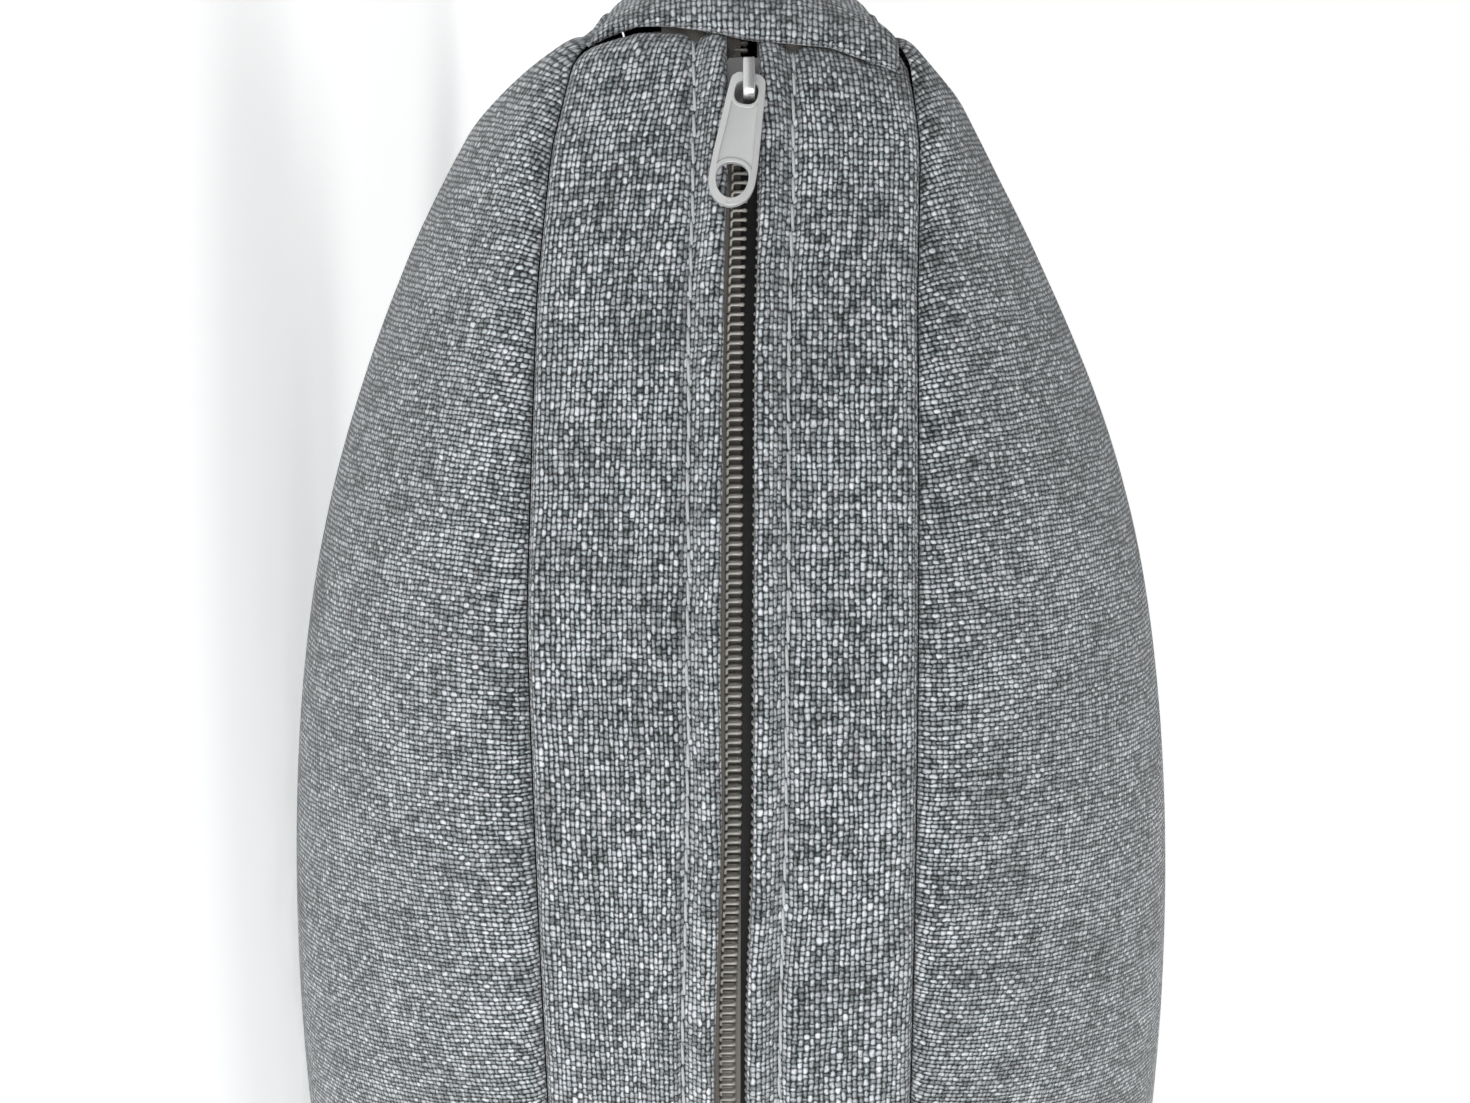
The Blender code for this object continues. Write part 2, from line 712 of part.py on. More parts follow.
# --------------------------------------------------------------- assembly
def build():
    grey = (0.23, 0.26, 0.27)
    root = empty("nursing_pillow", Vector((0, 0, 0)))
    cover = empty("cover", ORIGIN, root)
    cushion = empty("inner_cushion", ORIGIN, root)
    travel = empty("slider_travel", ZIP_CENTRE, root)
    frame = slider_frame()
    pivot = frame @ Vector((PULL_BAR, 0, PULL_MID))
    flip = empty("pull_flip", pivot, travel)

    make_panel("cover_panel_top", 1, material("top_fabric", grey, 0.9), cover)
    make_panel("cover_panel_bottom", -1, material("bottom_fabric", grey, 0.9), cover)
    make_band(material("band_fabric", grey, 0.9), cover)
    fabric = {w: material("strip_fabric_" + w, grey, 0.9) for w in ("upper", "lower")}
    tape = {w: material("tape_" + w, (0.16, 0.15, 0.14), 0.85) for w in ("upper", "lower")}
    coil = {w: material("coil_" + w, (0.30, 0.28, 0.26), 0.4) for w in ("upper", "lower")}
    thread = {w: material("thread_" + w, (0.55, 0.56, 0.55), 0.7) for w in ("upper", "lower")}
    make_zip(fabric, tape, coil, thread, cover)

    liner = (0.05, 0.05, 0.05)
    make_shell("inner_shell_top", 1, material("shell_top", liner, 0.9), cushion)
    make_shell("inner_shell_bottom", -1, material("shell_bottom", liner, 0.9), cushion)
    make_filling(material("fibre", (0.9, 0.9, 0.9), 1.0), cushion)

    make_slider_body(frame, material("slider_metal", (0.35, 0.36, 0.37), 0.35, 0.8), travel)
    make_bridge(frame, material("bridge_metal", (0.5, 0.5, 0.5), 0.3, 0.9), travel)
    make_pull(frame, material("pull_metal", (0.5, 0.5, 0.5), 0.4, 0.6), flip)
    print("travel axis at", [round(v, 6) for v in ZIP_CENTRE], "+Z")
    print("pull pivot at", [round(v, 6) for v in pivot], "rest angle", round(REST_ANGLE, 3))


clear_scene()
PILLOW = collection("nursing_pillow")
HELPERS = collection("cutters")
HELPERS.hide_render = True
build()
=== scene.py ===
import math

import bmesh
import bpy
import numpy as np
from mathutils import Matrix, Vector, noise


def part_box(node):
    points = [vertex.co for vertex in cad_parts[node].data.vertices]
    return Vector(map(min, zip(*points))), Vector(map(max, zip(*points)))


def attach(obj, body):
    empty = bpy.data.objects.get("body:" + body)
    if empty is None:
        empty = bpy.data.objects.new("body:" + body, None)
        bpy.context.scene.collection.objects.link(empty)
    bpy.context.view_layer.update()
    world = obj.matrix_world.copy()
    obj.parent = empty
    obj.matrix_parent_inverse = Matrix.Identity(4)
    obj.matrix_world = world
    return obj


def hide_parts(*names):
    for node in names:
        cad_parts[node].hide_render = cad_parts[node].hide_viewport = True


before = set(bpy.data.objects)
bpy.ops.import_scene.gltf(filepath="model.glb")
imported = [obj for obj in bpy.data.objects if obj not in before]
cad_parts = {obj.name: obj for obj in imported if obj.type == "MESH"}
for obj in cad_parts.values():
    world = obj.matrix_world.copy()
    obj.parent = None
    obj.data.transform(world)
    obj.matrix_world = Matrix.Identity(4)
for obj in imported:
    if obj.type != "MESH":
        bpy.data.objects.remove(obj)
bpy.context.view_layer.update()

MM = 0.001

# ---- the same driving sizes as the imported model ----
OUTER_RADIUS = 256 * MM
OUTER_START = -22.0
CORNER_OUTER = 15 * MM
CORNER_INNER = 48 * MM
CORNER_TURN = 66.0
CAP_TURN = 44.0
WAIST_RADIUS = 88 * MM
WAIST_CENTRE_Y = -2 * MM
THICKNESS = 161 * MM
WALL_HALF = 31 * MM
WALL_HALF_TIP = 22 * MM
WALL_TAPER_LENGTH = 45 * MM
WALL_TAPER_POWER = 0.8
WALL_BULGE = 4 * MM
TAPER_LENGTH = 190 * MM
TAPER_POWER = 2.2
FABRIC = 1.2 * MM
FLAT_SHARE = 0.2
DOME_POWER = 0.75
ZIP_Z = 2.9 * MM
SLOT_UP = 1.4 * MM
SLOT_DOWN = 3.7 * MM
STITCH_FROM_EDGE = 5.3 * MM
SUB = 4  # fine stations to one of the model's
CIRCLE_STEP = 4.0  # degrees between the model's stations on the outer curve
CORNER_STEPS = 5
CAP_STEPS = 2
INNER_CORNER_STEPS = 6
ZIP_FIRST = CORNER_STEPS + CAP_STEPS - 2
ZIP_LAST = CORNER_STEPS + CAP_STEPS + 23
TAPE_TOP = 0.05 * MM
COIL_TOP = 1.65 * MM
LIP_UNDER = 3.2 * MM
LIP_TOP = 5.2 * MM

box_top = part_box("cover_panel_top")
CENTRE_Y = box_top[1][1] - OUTER_RADIUS
ORIGIN = Vector((0.0, CENTRE_Y, THICKNESS / 2))


# ---- outline ----
def heading(angle):
    """Unit vector that points at this many degrees."""
    a = math.radians(angle)
    return Vector((math.cos(a), math.sin(a), 0.0))


def right_of(angle):
    """Unit vector to the right of someone who walks at this many degrees."""
    a = math.radians(angle)
    return Vector((math.sin(a), -math.cos(a), 0.0))


def horn_arcs(cap_radius):
    """Headings and centres of the three arcs that round a horn's end."""
    h0 = OUTER_START - 90.0
    h1 = h0 - CORNER_TURN
    h2 = h1 - CAP_TURN
    c1 = heading(OUTER_START) * (OUTER_RADIUS - CORNER_OUTER)
    c2 = c1 - right_of(h1) * CORNER_OUTER + right_of(h1) * cap_radius
    c3 = c2 - right_of(h2) * cap_radius + right_of(h2) * CORNER_INNER
    return h0, h1, h2, c1, c2, c3


def cap_miss(radius):
    """How far this cap radius leaves the inner arc from meeting the waist."""
    centre = horn_arcs(radius)[5] - Vector((0.0, WAIST_CENTRE_Y, 0.0))
    return centre.length - WAIST_RADIUS - CORNER_INNER


def fit_cap():
    """Cap radius with which the inner arc meets the waist."""
    low = high = 20 * MM
    while cap_miss(high) > 0 and high < 2.0:
        low, high = high, high + 5 * MM
    for _ in range(50):
        mid = (low + high) / 2
        if cap_miss(mid) > 0:
            low = mid
        else:
            high = mid
    return (low + high) / 2


def arc_points(centre, radius, first, turn, steps):
    """Stations (point, outward normal) along an arc that turns right."""
    out = []
    for i in range(steps + 1):
        side = right_of(first - turn * i / steps)
        out.append((centre - side * radius, -side))
    return out


def mirrored(points):
    flip = Vector((-1, 1, 1))
    return [(p * flip, n * flip) for p, n in points]


def outline():
    """Stations of the outer and of the inner edge, from one tip to the other."""
    cap = fit_cap()
    h0, h1, h2, c1, c2, c3 = horn_arcs(cap)
    waist = Vector((0.0, WAIST_CENTRE_Y, 0.0))
    join = c3 - waist
    join_angle = math.degrees(math.atan2(join.y, join.x))
    h3 = join_angle + 90.0
    while h3 > h2:
        h3 -= 360.0
    corner = arc_points(c1, CORNER_OUTER, h0, CORNER_TURN, CORNER_STEPS * SUB)
    half = CAP_STEPS * SUB
    end = arc_points(c2, cap, h1, CAP_TURN, 2 * half)
    inner = arc_points(c3, CORNER_INNER, h2, h2 - h3, INNER_CORNER_STEPS * SUB)
    outer_right = end[1:half + 1][::-1] + corner[::-1]
    inner_right = end[half:-1] + inner
    steps = round((180 - 2 * OUTER_START) * SUB / CIRCLE_STEP)
    circle = []
    for i in range(1, steps):
        side = heading(OUTER_START + i * CIRCLE_STEP / SUB)
        circle.append((side * OUTER_RADIUS, side))
    outer = outer_right + circle + mirrored(outer_right)[::-1]
    waist_steps = len(outer) - 1 - 2 * (INNER_CORNER_STEPS + CAP_STEPS) * SUB
    span = 180 - 2 * join_angle
    hole = []
    for i in range(1, waist_steps):
        side = heading(join_angle + span * i / waist_steps)
        hole.append((waist + side * WAIST_RADIUS, -side))
    return outer, inner_right + hole + mirrored(inner_right)[::-1]


OUTER, INNER = outline()
LAST = len(OUTER) - 1
TIP_AT = CAP_STEPS * SUB
TIP_SAG = 5.0 * MM  # the filled cloth pulls its tips in this far
TIP_SAG_REACH = 14 * MM


def sagged(stations):
    """The stations, drawn in near the tips."""
    out = []
    for p, n in stations:
        near = min((OUTER[q][0] - p).length for q in (TIP_AT, LAST - TIP_AT))
        out.append((p - n * TIP_SAG * math.exp(-(near / TIP_SAG_REACH) ** 2), n))
    return out


OUTER, INNER = sagged(OUTER), sagged(INNER)


def lengths(stations):
    """Distance along a row of stations."""
    out = [0.0]
    for (a, _), (b, _) in zip(stations, stations[1:]):
        out.append(out[-1] + (b - a).length)
    return out


def middle(k):
    return (OUTER[k][0] + INNER[k][0]) / 2


TIP_DISTANCE = []
for k in range(LAST + 1):
    tip = middle(0) if k <= LAST / 2 else middle(LAST)
    TIP_DISTANCE.append((middle(k) - tip).length)


TIP_EASE_REACH = 9 * MM


def tip_ease(k):
    """Nought at a tip and one a little way from it."""
    return 1 - math.exp(-(TIP_DISTANCE[k] / TIP_EASE_REACH) ** 2)


def share_of(k):
    """How far a station is along the taper, from 0 at a tip to 1."""
    return min(TIP_DISTANCE[k] / TAPER_LENGTH, 1.0)


def wall_half(k):
    """Half height of the wall, less at the tips."""
    share = min(TIP_DISTANCE[k] / WALL_TAPER_LENGTH, 1.0)
    return WALL_HALF_TIP + (WALL_HALF - WALL_HALF_TIP) * share ** WALL_TAPER_POWER


# how far the two seams wander from their even line, by distance from a tip
SEAM_AT = [d * MM for d in (0, 25, 35, 45, 60, 95, 150, 190, 250)]
LOWER_SEAM = [d * MM for d in (-3.0, -4.6, -3.8, -2.4, -0.3, 1.4, -0.6, -1.1, 0.0)]
UPPER_SEAM = [d * MM for d in (-1.0, -0.4, -0.5, -0.7, -1.3, -1.1, -1.1, -3.2, 0.0)]


def half_at(k, up):
    """Half height of the wall to one side of the zip."""
    seam = UPPER_SEAM if up > 0 else LOWER_SEAM
    return wall_half(k) + float(np.interp(TIP_DISTANCE[k], SEAM_AT, seam))


UPPER_TIP_DROP = (11.5 * MM, 42 * MM)  # depth and reach
LOWER_TIP_DROP = (7.5 * MM, 24 * MM)
SHOULDER = 1.9 * MM
SHOULDER_AT = 85 * MM
SHOULDER_REACH = 50 * MM


def crown(k, up):
    """How far a panel's middle stands above its seams."""
    fall = 1 - (1 - share_of(k)) ** TAPER_POWER
    half = THICKNESS / 2 * fall ** (1 / TAPER_POWER)
    drop, reach = UPPER_TIP_DROP if up > 0 else LOWER_TIP_DROP
    half -= drop * math.exp(-(TIP_DISTANCE[k] / reach) ** 2)
    half += SHOULDER * math.exp(-((TIP_DISTANCE[k] - SHOULDER_AT) / SHOULDER_REACH) ** 2)
    half = min(half, THICKNESS / 2)
    return max(half - half_at(k, up) - FABRIC, 0.0)


def dome(t):
    """Share of the crown from seam (-1) to seam (1), level in the middle."""
    t = max(0.0, (abs(t) - FLAT_SHARE) / (1 - FLAT_SHARE))
    return (1 - t * t) ** DOME_POWER


def wave(a, b, c, scale):
    """Smooth noise from -1 to 1 at a place given in metres."""
    return noise.noise(Vector((a / scale, b / scale, c / scale)))


# ---- mesh helpers ----
def grid_mesh(name, rows, uvs):
    """Smooth mesh through rows of points, with each point's U and V."""
    count = len(rows[0])
    verts = [tuple(p) for row in rows for p in row]
    faces = []
    for i in range(len(rows) - 1):
        a, b = i * count, (i + 1) * count
        for j in range(count - 1):
            faces.append((a + j, a + j + 1, b + j + 1, b + j))
    mesh = bpy.data.meshes.new(name)
    mesh.from_pydata(verts, [], faces)
    layer = mesh.uv_layers.new(name="UVMap")
    flat = [uv for row in uvs for uv in row]
    coords = np.array([flat[l.vertex_index] for l in mesh.loops], float)
    layer.data.foreach_set("uv", coords.ravel())
    mesh.shade_smooth()
    return mesh


def ring_faces(rings, sides):
    """Faces of a tube of rings, with a face over each end."""
    faces = []
    for i in range(rings - 1):
        for j in range(sides):
            a, b = i * sides + j, i * sides + (j + 1) % sides
            faces.append((a, b, b + sides, a + sides))
    faces.append(tuple(range(sides))[::-1])
    faces.append(tuple(range((rings - 1) * sides, rings * sides)))
    return faces


def add_piece(name, mesh, mat, body, node):
    """Show a mesh on a body, in place of the model's node."""
    item = bpy.data.objects.new(name, mesh)
    bpy.context.scene.collection.objects.link(item)
    item.data.materials.append(mat)
    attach(item, body)
    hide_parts(node)
    return item


def evaluated_mesh(item):
    bpy.context.view_layer.update()
    graph = bpy.context.evaluated_depsgraph_get()
    return bpy.data.meshes.new_from_object(item.evaluated_get(graph))


def curve_mesh(curve):
    """The mesh of a curve."""
    holder = bpy.data.objects.new(curve.name + "_curve", curve)
    bpy.context.scene.collection.objects.link(holder)
    mesh = evaluated_mesh(holder)
    bpy.data.objects.remove(holder, do_unlink=True)
    return mesh


def thicken(item, depth):
    """Give a surface this much thickness on its inner side."""
    mod = item.modifiers.new("thick", "SOLIDIFY")
    mod.thickness = depth
    mod.offset = -1.0
    mesh = evaluated_mesh(item)
    old = item.data
    item.modifiers.clear()
    item.data = mesh
    bpy.data.meshes.remove(old)


def outward(item):
    """Turn a piece's faces to look out of it."""
    bm = bmesh.new()
    bm.from_mesh(item.data)
    bmesh.ops.recalc_face_normals(bm, faces=bm.faces)
    bm.to_mesh(item.data)
    bm.free()


# ---- materials ----
class Nodes:
    """A material, with short ways to add its shader nodes."""

    def __init__(self, name):
        self.mat = bpy.data.materials.new(name)
        self.mat.use_nodes = True
        self.tree = self.mat.node_tree
        self.shader = self.tree.nodes["Principled BSDF"]

    def feed(self, socket, value):
        """Set a socket to a number or a colour, or link it."""
        if isinstance(value, tuple):
            socket.default_value = (*value, 1.0)
        elif isinstance(value, (int, float)):
            socket.default_value = value
        else:
            self.tree.links.new(value, socket)

    def math(self, op, *values):
        node = self.tree.nodes.new("ShaderNodeMath")
        node.operation = op
        for socket, value in zip(node.inputs, values):
            self.feed(socket, value)
        return node.outputs[0]

    def combine(self, *values):
        node = self.tree.nodes.new("ShaderNodeCombineXYZ")
        for socket, value in zip(node.inputs, values):
            self.feed(socket, value)
        return node.outputs[0]

    def scaled(self, value, factor):
        return self.math("MULTIPLY", value, factor)

    def pick(self, on, off, a, b):
        """a where on is one, and b where off is one."""
        return self.math("ADD", self.scaled(a, on), self.scaled(b, off))

    def spread(self, value, gain, base):
        """base plus gain times the value's distance from a half."""
        return self.math("MULTIPLY_ADD", self.math("SUBTRACT", value, 0.5), gain, base)

    def object_place(self):
        return self.tree.nodes.new("ShaderNodeTexCoord").outputs["Object"]

    def split(self, vector):
        node = self.tree.nodes.new("ShaderNodeSeparateXYZ")
        self.tree.links.new(vector, node.inputs[0])
        return node.outputs[0], node.outputs[1], node.outputs[2]

    def noise(self, vector, scale, detail=1.0, rough=0.5):
        node = self.tree.nodes.new("ShaderNodeTexNoise")
        self.tree.links.new(vector, node.inputs["Vector"])
        node.inputs["Scale"].default_value = scale
        node.inputs["Detail"].default_value = detail
        node.inputs["Roughness"].default_value = rough
        return node.outputs["Fac"]

    def white(self, vector):
        node = self.tree.nodes.new("ShaderNodeTexWhiteNoise")
        node.noise_dimensions = "3D"
        self.tree.links.new(vector, node.inputs["Vector"])
        return node.outputs["Value"]

    def float_height(self, cross, run, chance, lift, reach):
        """Rounded top of one float: lift at its middle, falling off both ways."""
        wide = self.math("MULTIPLY_ADD", chance, 0.34, 0.78)
        side = self.math("POWER", self.math("DIVIDE", cross, wide), 2.2)
        end = self.math("POWER", self.math("DIVIDE", run, reach), 2.6)
        return self.math("SUBTRACT", lift, self.math("ADD", side, end))

    def mix(self, fac, a, b, mode="MIX"):
        node = self.tree.nodes.new("ShaderNodeMix")
        node.data_type = "RGBA"
        node.blend_type = mode
        self.feed(node.inputs[0], fac)
        self.feed(node.inputs[6], a)
        self.feed(node.inputs[7], b)
        return node.outputs[2]

    def times(self, a, b):
        return self.mix(1.0, a, b, "MULTIPLY")

    def shaded(self, fac, color, low, high):
        """From the colour times low to the colour times high."""
        dark = tuple(c * low for c in color)
        light = tuple(min(c * high, 1.0) for c in color)
        return self.mix(fac, dark, light)

    def ramp(self, fac, stops):
        """Colours or greys at places from 0 to 1."""
        node = self.tree.nodes.new("ShaderNodeValToRGB")
        self.tree.links.new(fac, node.inputs[0])
        band = node.color_ramp.elements
        while len(band) < len(stops):
            band.new(0.5)
        for item, (place, color) in zip(band, stops):
            item.position = place
            item.color = (*color, 1.0) if isinstance(color, tuple) else (color, color, color, 1.0)
        return node.outputs[0]

    def bump(self, height, strength, distance):
        node = self.tree.nodes.new("ShaderNodeBump")
        node.inputs["Strength"].default_value = strength
        node.inputs["Distance"].default_value = distance
        self.tree.links.new(height, node.inputs["Height"])
        return node.outputs[0]

    def set(self, **values):
        """Set the shader's own sockets. An underscore stands for a space."""
        for name, value in values.items():
            self.shader.inputs[name.replace("_", " ")].default_value = value

    def to(self, value, socket):
        self.tree.links.new(value, self.shader.inputs[socket])


WARP_PITCH = 0.84 * MM
WEFT_PITCH = 1.06 * MM
CLOTH_BRIGHT = 0.8


def wandering(n, place, pitch, u, v, bend, seed):
    """Yarn number along one way, which wanders a little and is fuzzy."""
    wander = n.noise(n.combine(*bend), 260.0, 3.0)
    fuzz = n.scaled(n.noise(n.combine(u, v, seed), 1100.0, 1.0), 0.55)
    return n.math("ADD", n.math("MULTIPLY_ADD", place, 1 / pitch, fuzz), n.scaled(wander, 1.5))


def centred(n, x):
    """Place across a cell, from -1 to 1."""
    return n.scaled(n.math("SUBTRACT", n.math("FRACT", x), 0.5), 2.0)


def woven(name, seed):
    """Coarse heather plain weave; U and V are metres on the cloth."""
    n = Nodes(name)
    uv = n.tree.nodes.new("ShaderNodeUVMap")
    uv.uv_map = "UVMap"
    u, v, _ = n.split(uv.outputs[0])
    x = wandering(n, v, WARP_PITCH, u, v, (n.scaled(u, 0.35), v, seed), seed + 2.0)
    y = wandering(n, u, WEFT_PITCH, u, v, (u, n.scaled(v, 0.35), seed + 7.7), seed + 4.0)
    i, j = n.math("FLOOR", x), n.math("FLOOR", y)
    fx, fy = centred(n, x), centred(n, y)
    over = n.math("MODULO", n.math("ABSOLUTE", n.math("ADD", i, j)), 2.0)
    under = n.math("SUBTRACT", 1.0, over)
    # a float is longer than its cell, so its ends show in the cells beside it
    next_j = n.math("MULTIPLY_ADD", under, n.math("SIGN", fy), j)
    next_i = n.math("MULTIPLY_ADD", over, n.math("SIGN", fx), i)
    warp_cell = n.white(n.combine(i, next_j, seed))
    weft_cell = n.white(n.combine(next_i, j, seed + 3.0))
    ax, ay = n.math("ABSOLUTE", fx), n.math("ABSOLUTE", fy)
    warp_run = n.pick(over, under, ay, n.math("SUBTRACT", 2.0, ay))
    weft_run = n.pick(under, over, ax, n.math("SUBTRACT", 2.0, ax))
    warp_height = n.float_height(ax, warp_run, warp_cell, 1.0, 1.42)
    weft_height = n.float_height(ay, weft_run, weft_cell, 0.86, 1.22)
    height = n.math("MAXIMUM", n.math("MAXIMUM", warp_height, weft_height), 0.0)
    on_top = n.math("GREATER_THAN", warp_height, weft_height)
    below = n.math("SUBTRACT", 1.0, on_top)
    cell = n.pick(on_top, below, warp_cell, weft_cell)
    # each yarn has its own slowly changing tone
    warp_place = n.combine(n.scaled(i, 3.71), n.scaled(u, 110.0), seed)
    weft_place = n.combine(n.scaled(v, 110.0), n.scaled(j, 4.33), seed + 5.0)
    warp_tone = n.noise(warp_place, 1.0, 4.0, 0.8)
    weft_tone = n.noise(weft_place, 1.0, 4.0, 0.8)
    cloud = n.noise(n.combine(u, v, seed), 60.0, 4.0, 0.65)
    # fine fibres along the yarn that is on top
    warp_ply = n.noise(n.combine(n.scaled(u, 900.0), n.scaled(v, 6500.0), seed), 1.0, 2.0, 0.7)
    weft_ply = n.noise(n.combine(n.scaled(u, 6500.0), n.scaled(v, 900.0), seed), 1.0, 2.0, 0.7)
    ply = n.pick(on_top, below, warp_ply, weft_ply)
    tone = n.spread(n.pick(on_top, below, warp_tone, weft_tone), 1.5, 0.45)
    tone = n.math("MULTIPLY_ADD", on_top, 0.10, tone)
    tone = n.spread(cell, 0.36, tone)
    tone = n.spread(cloud, 0.62, tone)
    tone = n.spread(ply, 0.75, tone)
    yarn = n.ramp(tone, [(0.10, 0.14), (0.33, 0.31), (0.50, 0.54), (0.68, 0.80), (0.92, 1.0)])
    # painted shade: each yarn's colour darkens towards its rounded edges and turns nearly black in the gaps
    # between yarns, where shade falls
    depth = n.ramp(height, [(0.0, 0.03), (0.25, 0.13), (0.55, 0.48), (0.82, 0.95), (1.0, 1.0)])
    hue = n.ramp(cell, [(0.0, (0.88, 1.0, 1.02)), (0.5, (0.93, 1.0, 1.06)), (1.0, (0.97, 1.0, 1.04))])
    color = n.times(n.times(yarn, depth), hue)
    n.to(n.times(color, (CLOTH_BRIGHT, CLOTH_BRIGHT, CLOTH_BRIGHT)), "Base Color")
    n.to(n.bump(n.math("MULTIPLY_ADD", ply, 0.25, height), 0.9, 0.34 * MM), "Normal")
    n.set(Roughness=0.85, Specular_IOR_Level=0.25, Sheen_Weight=0.4, Sheen_Roughness=0.45)
    return n.mat


def metal(name, color, rough, metallic, coat=0.0):
    """Smooth or painted metal with faint wear."""
    n = Nodes(name)
    fine = n.noise(n.object_place(), 2600.0, 3.0, 0.6)
    wide = n.noise(n.object_place(), 240.0, 3.0, 0.6)
    n.to(n.shaded(wide, color, 0.94, 1.05), "Base Color")
    n.to(n.math("MULTIPLY_ADD", fine, 0.10, rough - 0.05), "Roughness")
    n.to(n.bump(fine, 0.12, 0.03 * MM), "Normal")
    n.set(Metallic=metallic, Coat_Weight=coat, Coat_Roughness=0.15)
    return n.mat


def nylon(name, color):
    """Satin plastic of the coil."""
    n = Nodes(name)
    spots = n.noise(n.object_place(), 900.0, 2.0, 0.6)
    n.to(n.shaded(spots, color, 0.75, 1.25), "Base Color")
    n.set(Roughness=0.32, Specular_IOR_Level=0.6)
    return n.mat


def tape_cloth(name, color):
    """Fine herringbone of the zip tape, in the object's own metres."""
    n = Nodes(name)
    x, y, z = n.split(n.object_place())
    angle = n.math("ARCTAN2", n.math("SUBTRACT", y, CENTRE_Y), x)
    run = n.scaled(angle, OUTER_RADIUS - 1 * MM)
    fold = n.math("PINGPONG", z, 1.6 * MM)
    rows = n.math("SINE", n.scaled(n.math("ADD", run, fold), 2 * math.pi / (0.42 * MM)))
    ribs = n.math("SINE", n.scaled(z, 2 * math.pi / (0.4 * MM)))
    height = n.math("MULTIPLY_ADD", ribs, 0.35, rows)
    shade = n.math("MULTIPLY_ADD", height, 0.22, 0.5)
    n.to(n.shaded(shade, color, 0.5, 1.5), "Base Color")
    n.to(n.bump(height, 0.4, 0.06 * MM), "Normal")
    n.set(Roughness=0.8)
    return n.mat


def thread_cloth(name, color):
    """Twisted sewing thread."""
    n = Nodes(name)
    _, y, z = n.split(n.object_place())
    slant = n.math("ADD", y, n.scaled(z, 1.3))
    ply = n.math("SINE", n.scaled(slant, 2 * math.pi / (0.5 * MM)))
    n.to(n.shaded(n.math("MULTIPLY_ADD", ply, 0.3, 0.5), color, 0.8, 1.0), "Base Color")
    n.to(n.bump(ply, 0.5, 0.05 * MM), "Normal")
    n.set(Roughness=0.6, Sheen_Weight=0.2)
    return n.mat


CLOTH_TOP = woven("cloth_top", 1.0)
CLOTH_BOTTOM = woven("cloth_bottom", 14.0)
CLOTH_BAND = woven("cloth_band", 27.0)
CLOTH_UP = woven("cloth_strip_upper", 41.0)
CLOTH_DOWN = woven("cloth_strip_lower", 58.0)


# ---- panels ----
PANEL_COLUMNS = 64
HEM_SLOPE = 30
GRAIN = math.radians(OUTER_START + 20.5)
RUN_OUT = lengths(OUTER)
RUN_IN = lengths(INNER)


def panel_puckers(run, near, up, outer_side):
    """Small gathers beside a panel's seam, strongest near it."""
    fade = math.exp(-near / (22 * MM)) * min(1.0, near / (5 * MM))
    small = wave(run, up * 0.7, 0.2, 11 * MM) * 0.55
    large = wave(run, up * 1.7, 2.2, 26 * MM) * 0.9
    return (small + large) * fade * (1.0 if outer_side else 1.6)


def panel_rows(up):
    """Points of a panel, row by row across the horn, with their place on the cloth."""
    rows, uvs = [], []
    for k in range(LAST + 1):
        a, na = OUTER[k]
        b, nb = INNER[k]
        half = half_at(k, up)
        rise = crown(k, up)
        span = (b - a).length
        row = []
        for c in range(PANEL_COLUMNS + 1):
            t = -math.cos(math.pi * c / PANEL_COLUMNS)
            p = a.lerp(b, (t + 1) / 2)
            z = half + FABRIC * min(1.0, (1 - abs(t)) * HEM_SLOPE) + rise * dome(t)
            row.append(Vector((p.x, p.y, z)))
        # distance over the cloth from each seam
        walk = [0.0]
        for p, q in zip(row, row[1:]):
            walk.append(walk[-1] + (q - p).length)
        total = walk[-1]
        mid = a.lerp(b, 0.5)
        way = (b - a).normalized() if span > 1e-6 else Vector((1, 0, 0))
        out, uv = [], []
        for c, p in enumerate(row):
            near = min(walk[c], total - walk[c])
            tuck = 1.7 * MM * tip_ease(k) * math.exp(-near / (1.3 * MM))
            fade = math.exp(-near / (22 * MM))
            side = c <= PANEL_COLUMNS / 2
            normal = na if side else nb
            run = RUN_OUT[k] if side else RUN_IN[k] + 3.0
            pucker = panel_puckers(run, near, up, side)
            broad = wave(p.x, p.y + up * 3.0, 0.4, 75 * MM)
            broad *= min(1.0, near / (30 * MM)) * min(1.0, rise / (20 * MM))
            lift = (pucker * 0.8 + broad * 1.1) * MM
            q = p + normal * (lift * 0.7 * fade - tuck)
            q.z += lift * 0.9
            q.z = min(q.z, THICKNESS / 2)
            out.append(ORIGIN + Vector((q.x, q.y, up * q.z)))
            flat = mid + way * (walk[c] - total / 2)
            cu = flat.x * math.cos(GRAIN) + flat.y * math.sin(GRAIN)
            cv = -flat.x * math.sin(GRAIN) + flat.y * math.cos(GRAIN)
            uv.append((cu + 2.0, cv + 2.0))
        rows.append(out)
        uvs.append(uv)
    return rows, uvs


def make_panel(name, up, mat, node):
    rows, uvs = panel_rows(up)
    item = add_piece(name, grid_mesh(name, rows, uvs), mat, "pillow", node)
    outward(item)
    if sum(p.normal.z for p in item.data.polygons) * up < 0:
        item.data.flip_normals()
    thicken(item, 1.0 * MM)


make_panel("panel_top", 1, CLOTH_TOP, "cover_panel_top")
make_panel("panel_bottom", -1, CLOTH_BOTTOM, "cover_panel_bottom")


# ---- side wall ----
def at(station, out, z):
    """Place this far out from a station and this high above the mid-plane."""
    point, normal = station
    return ORIGIN + point + normal * out + Vector((0, 0, z))


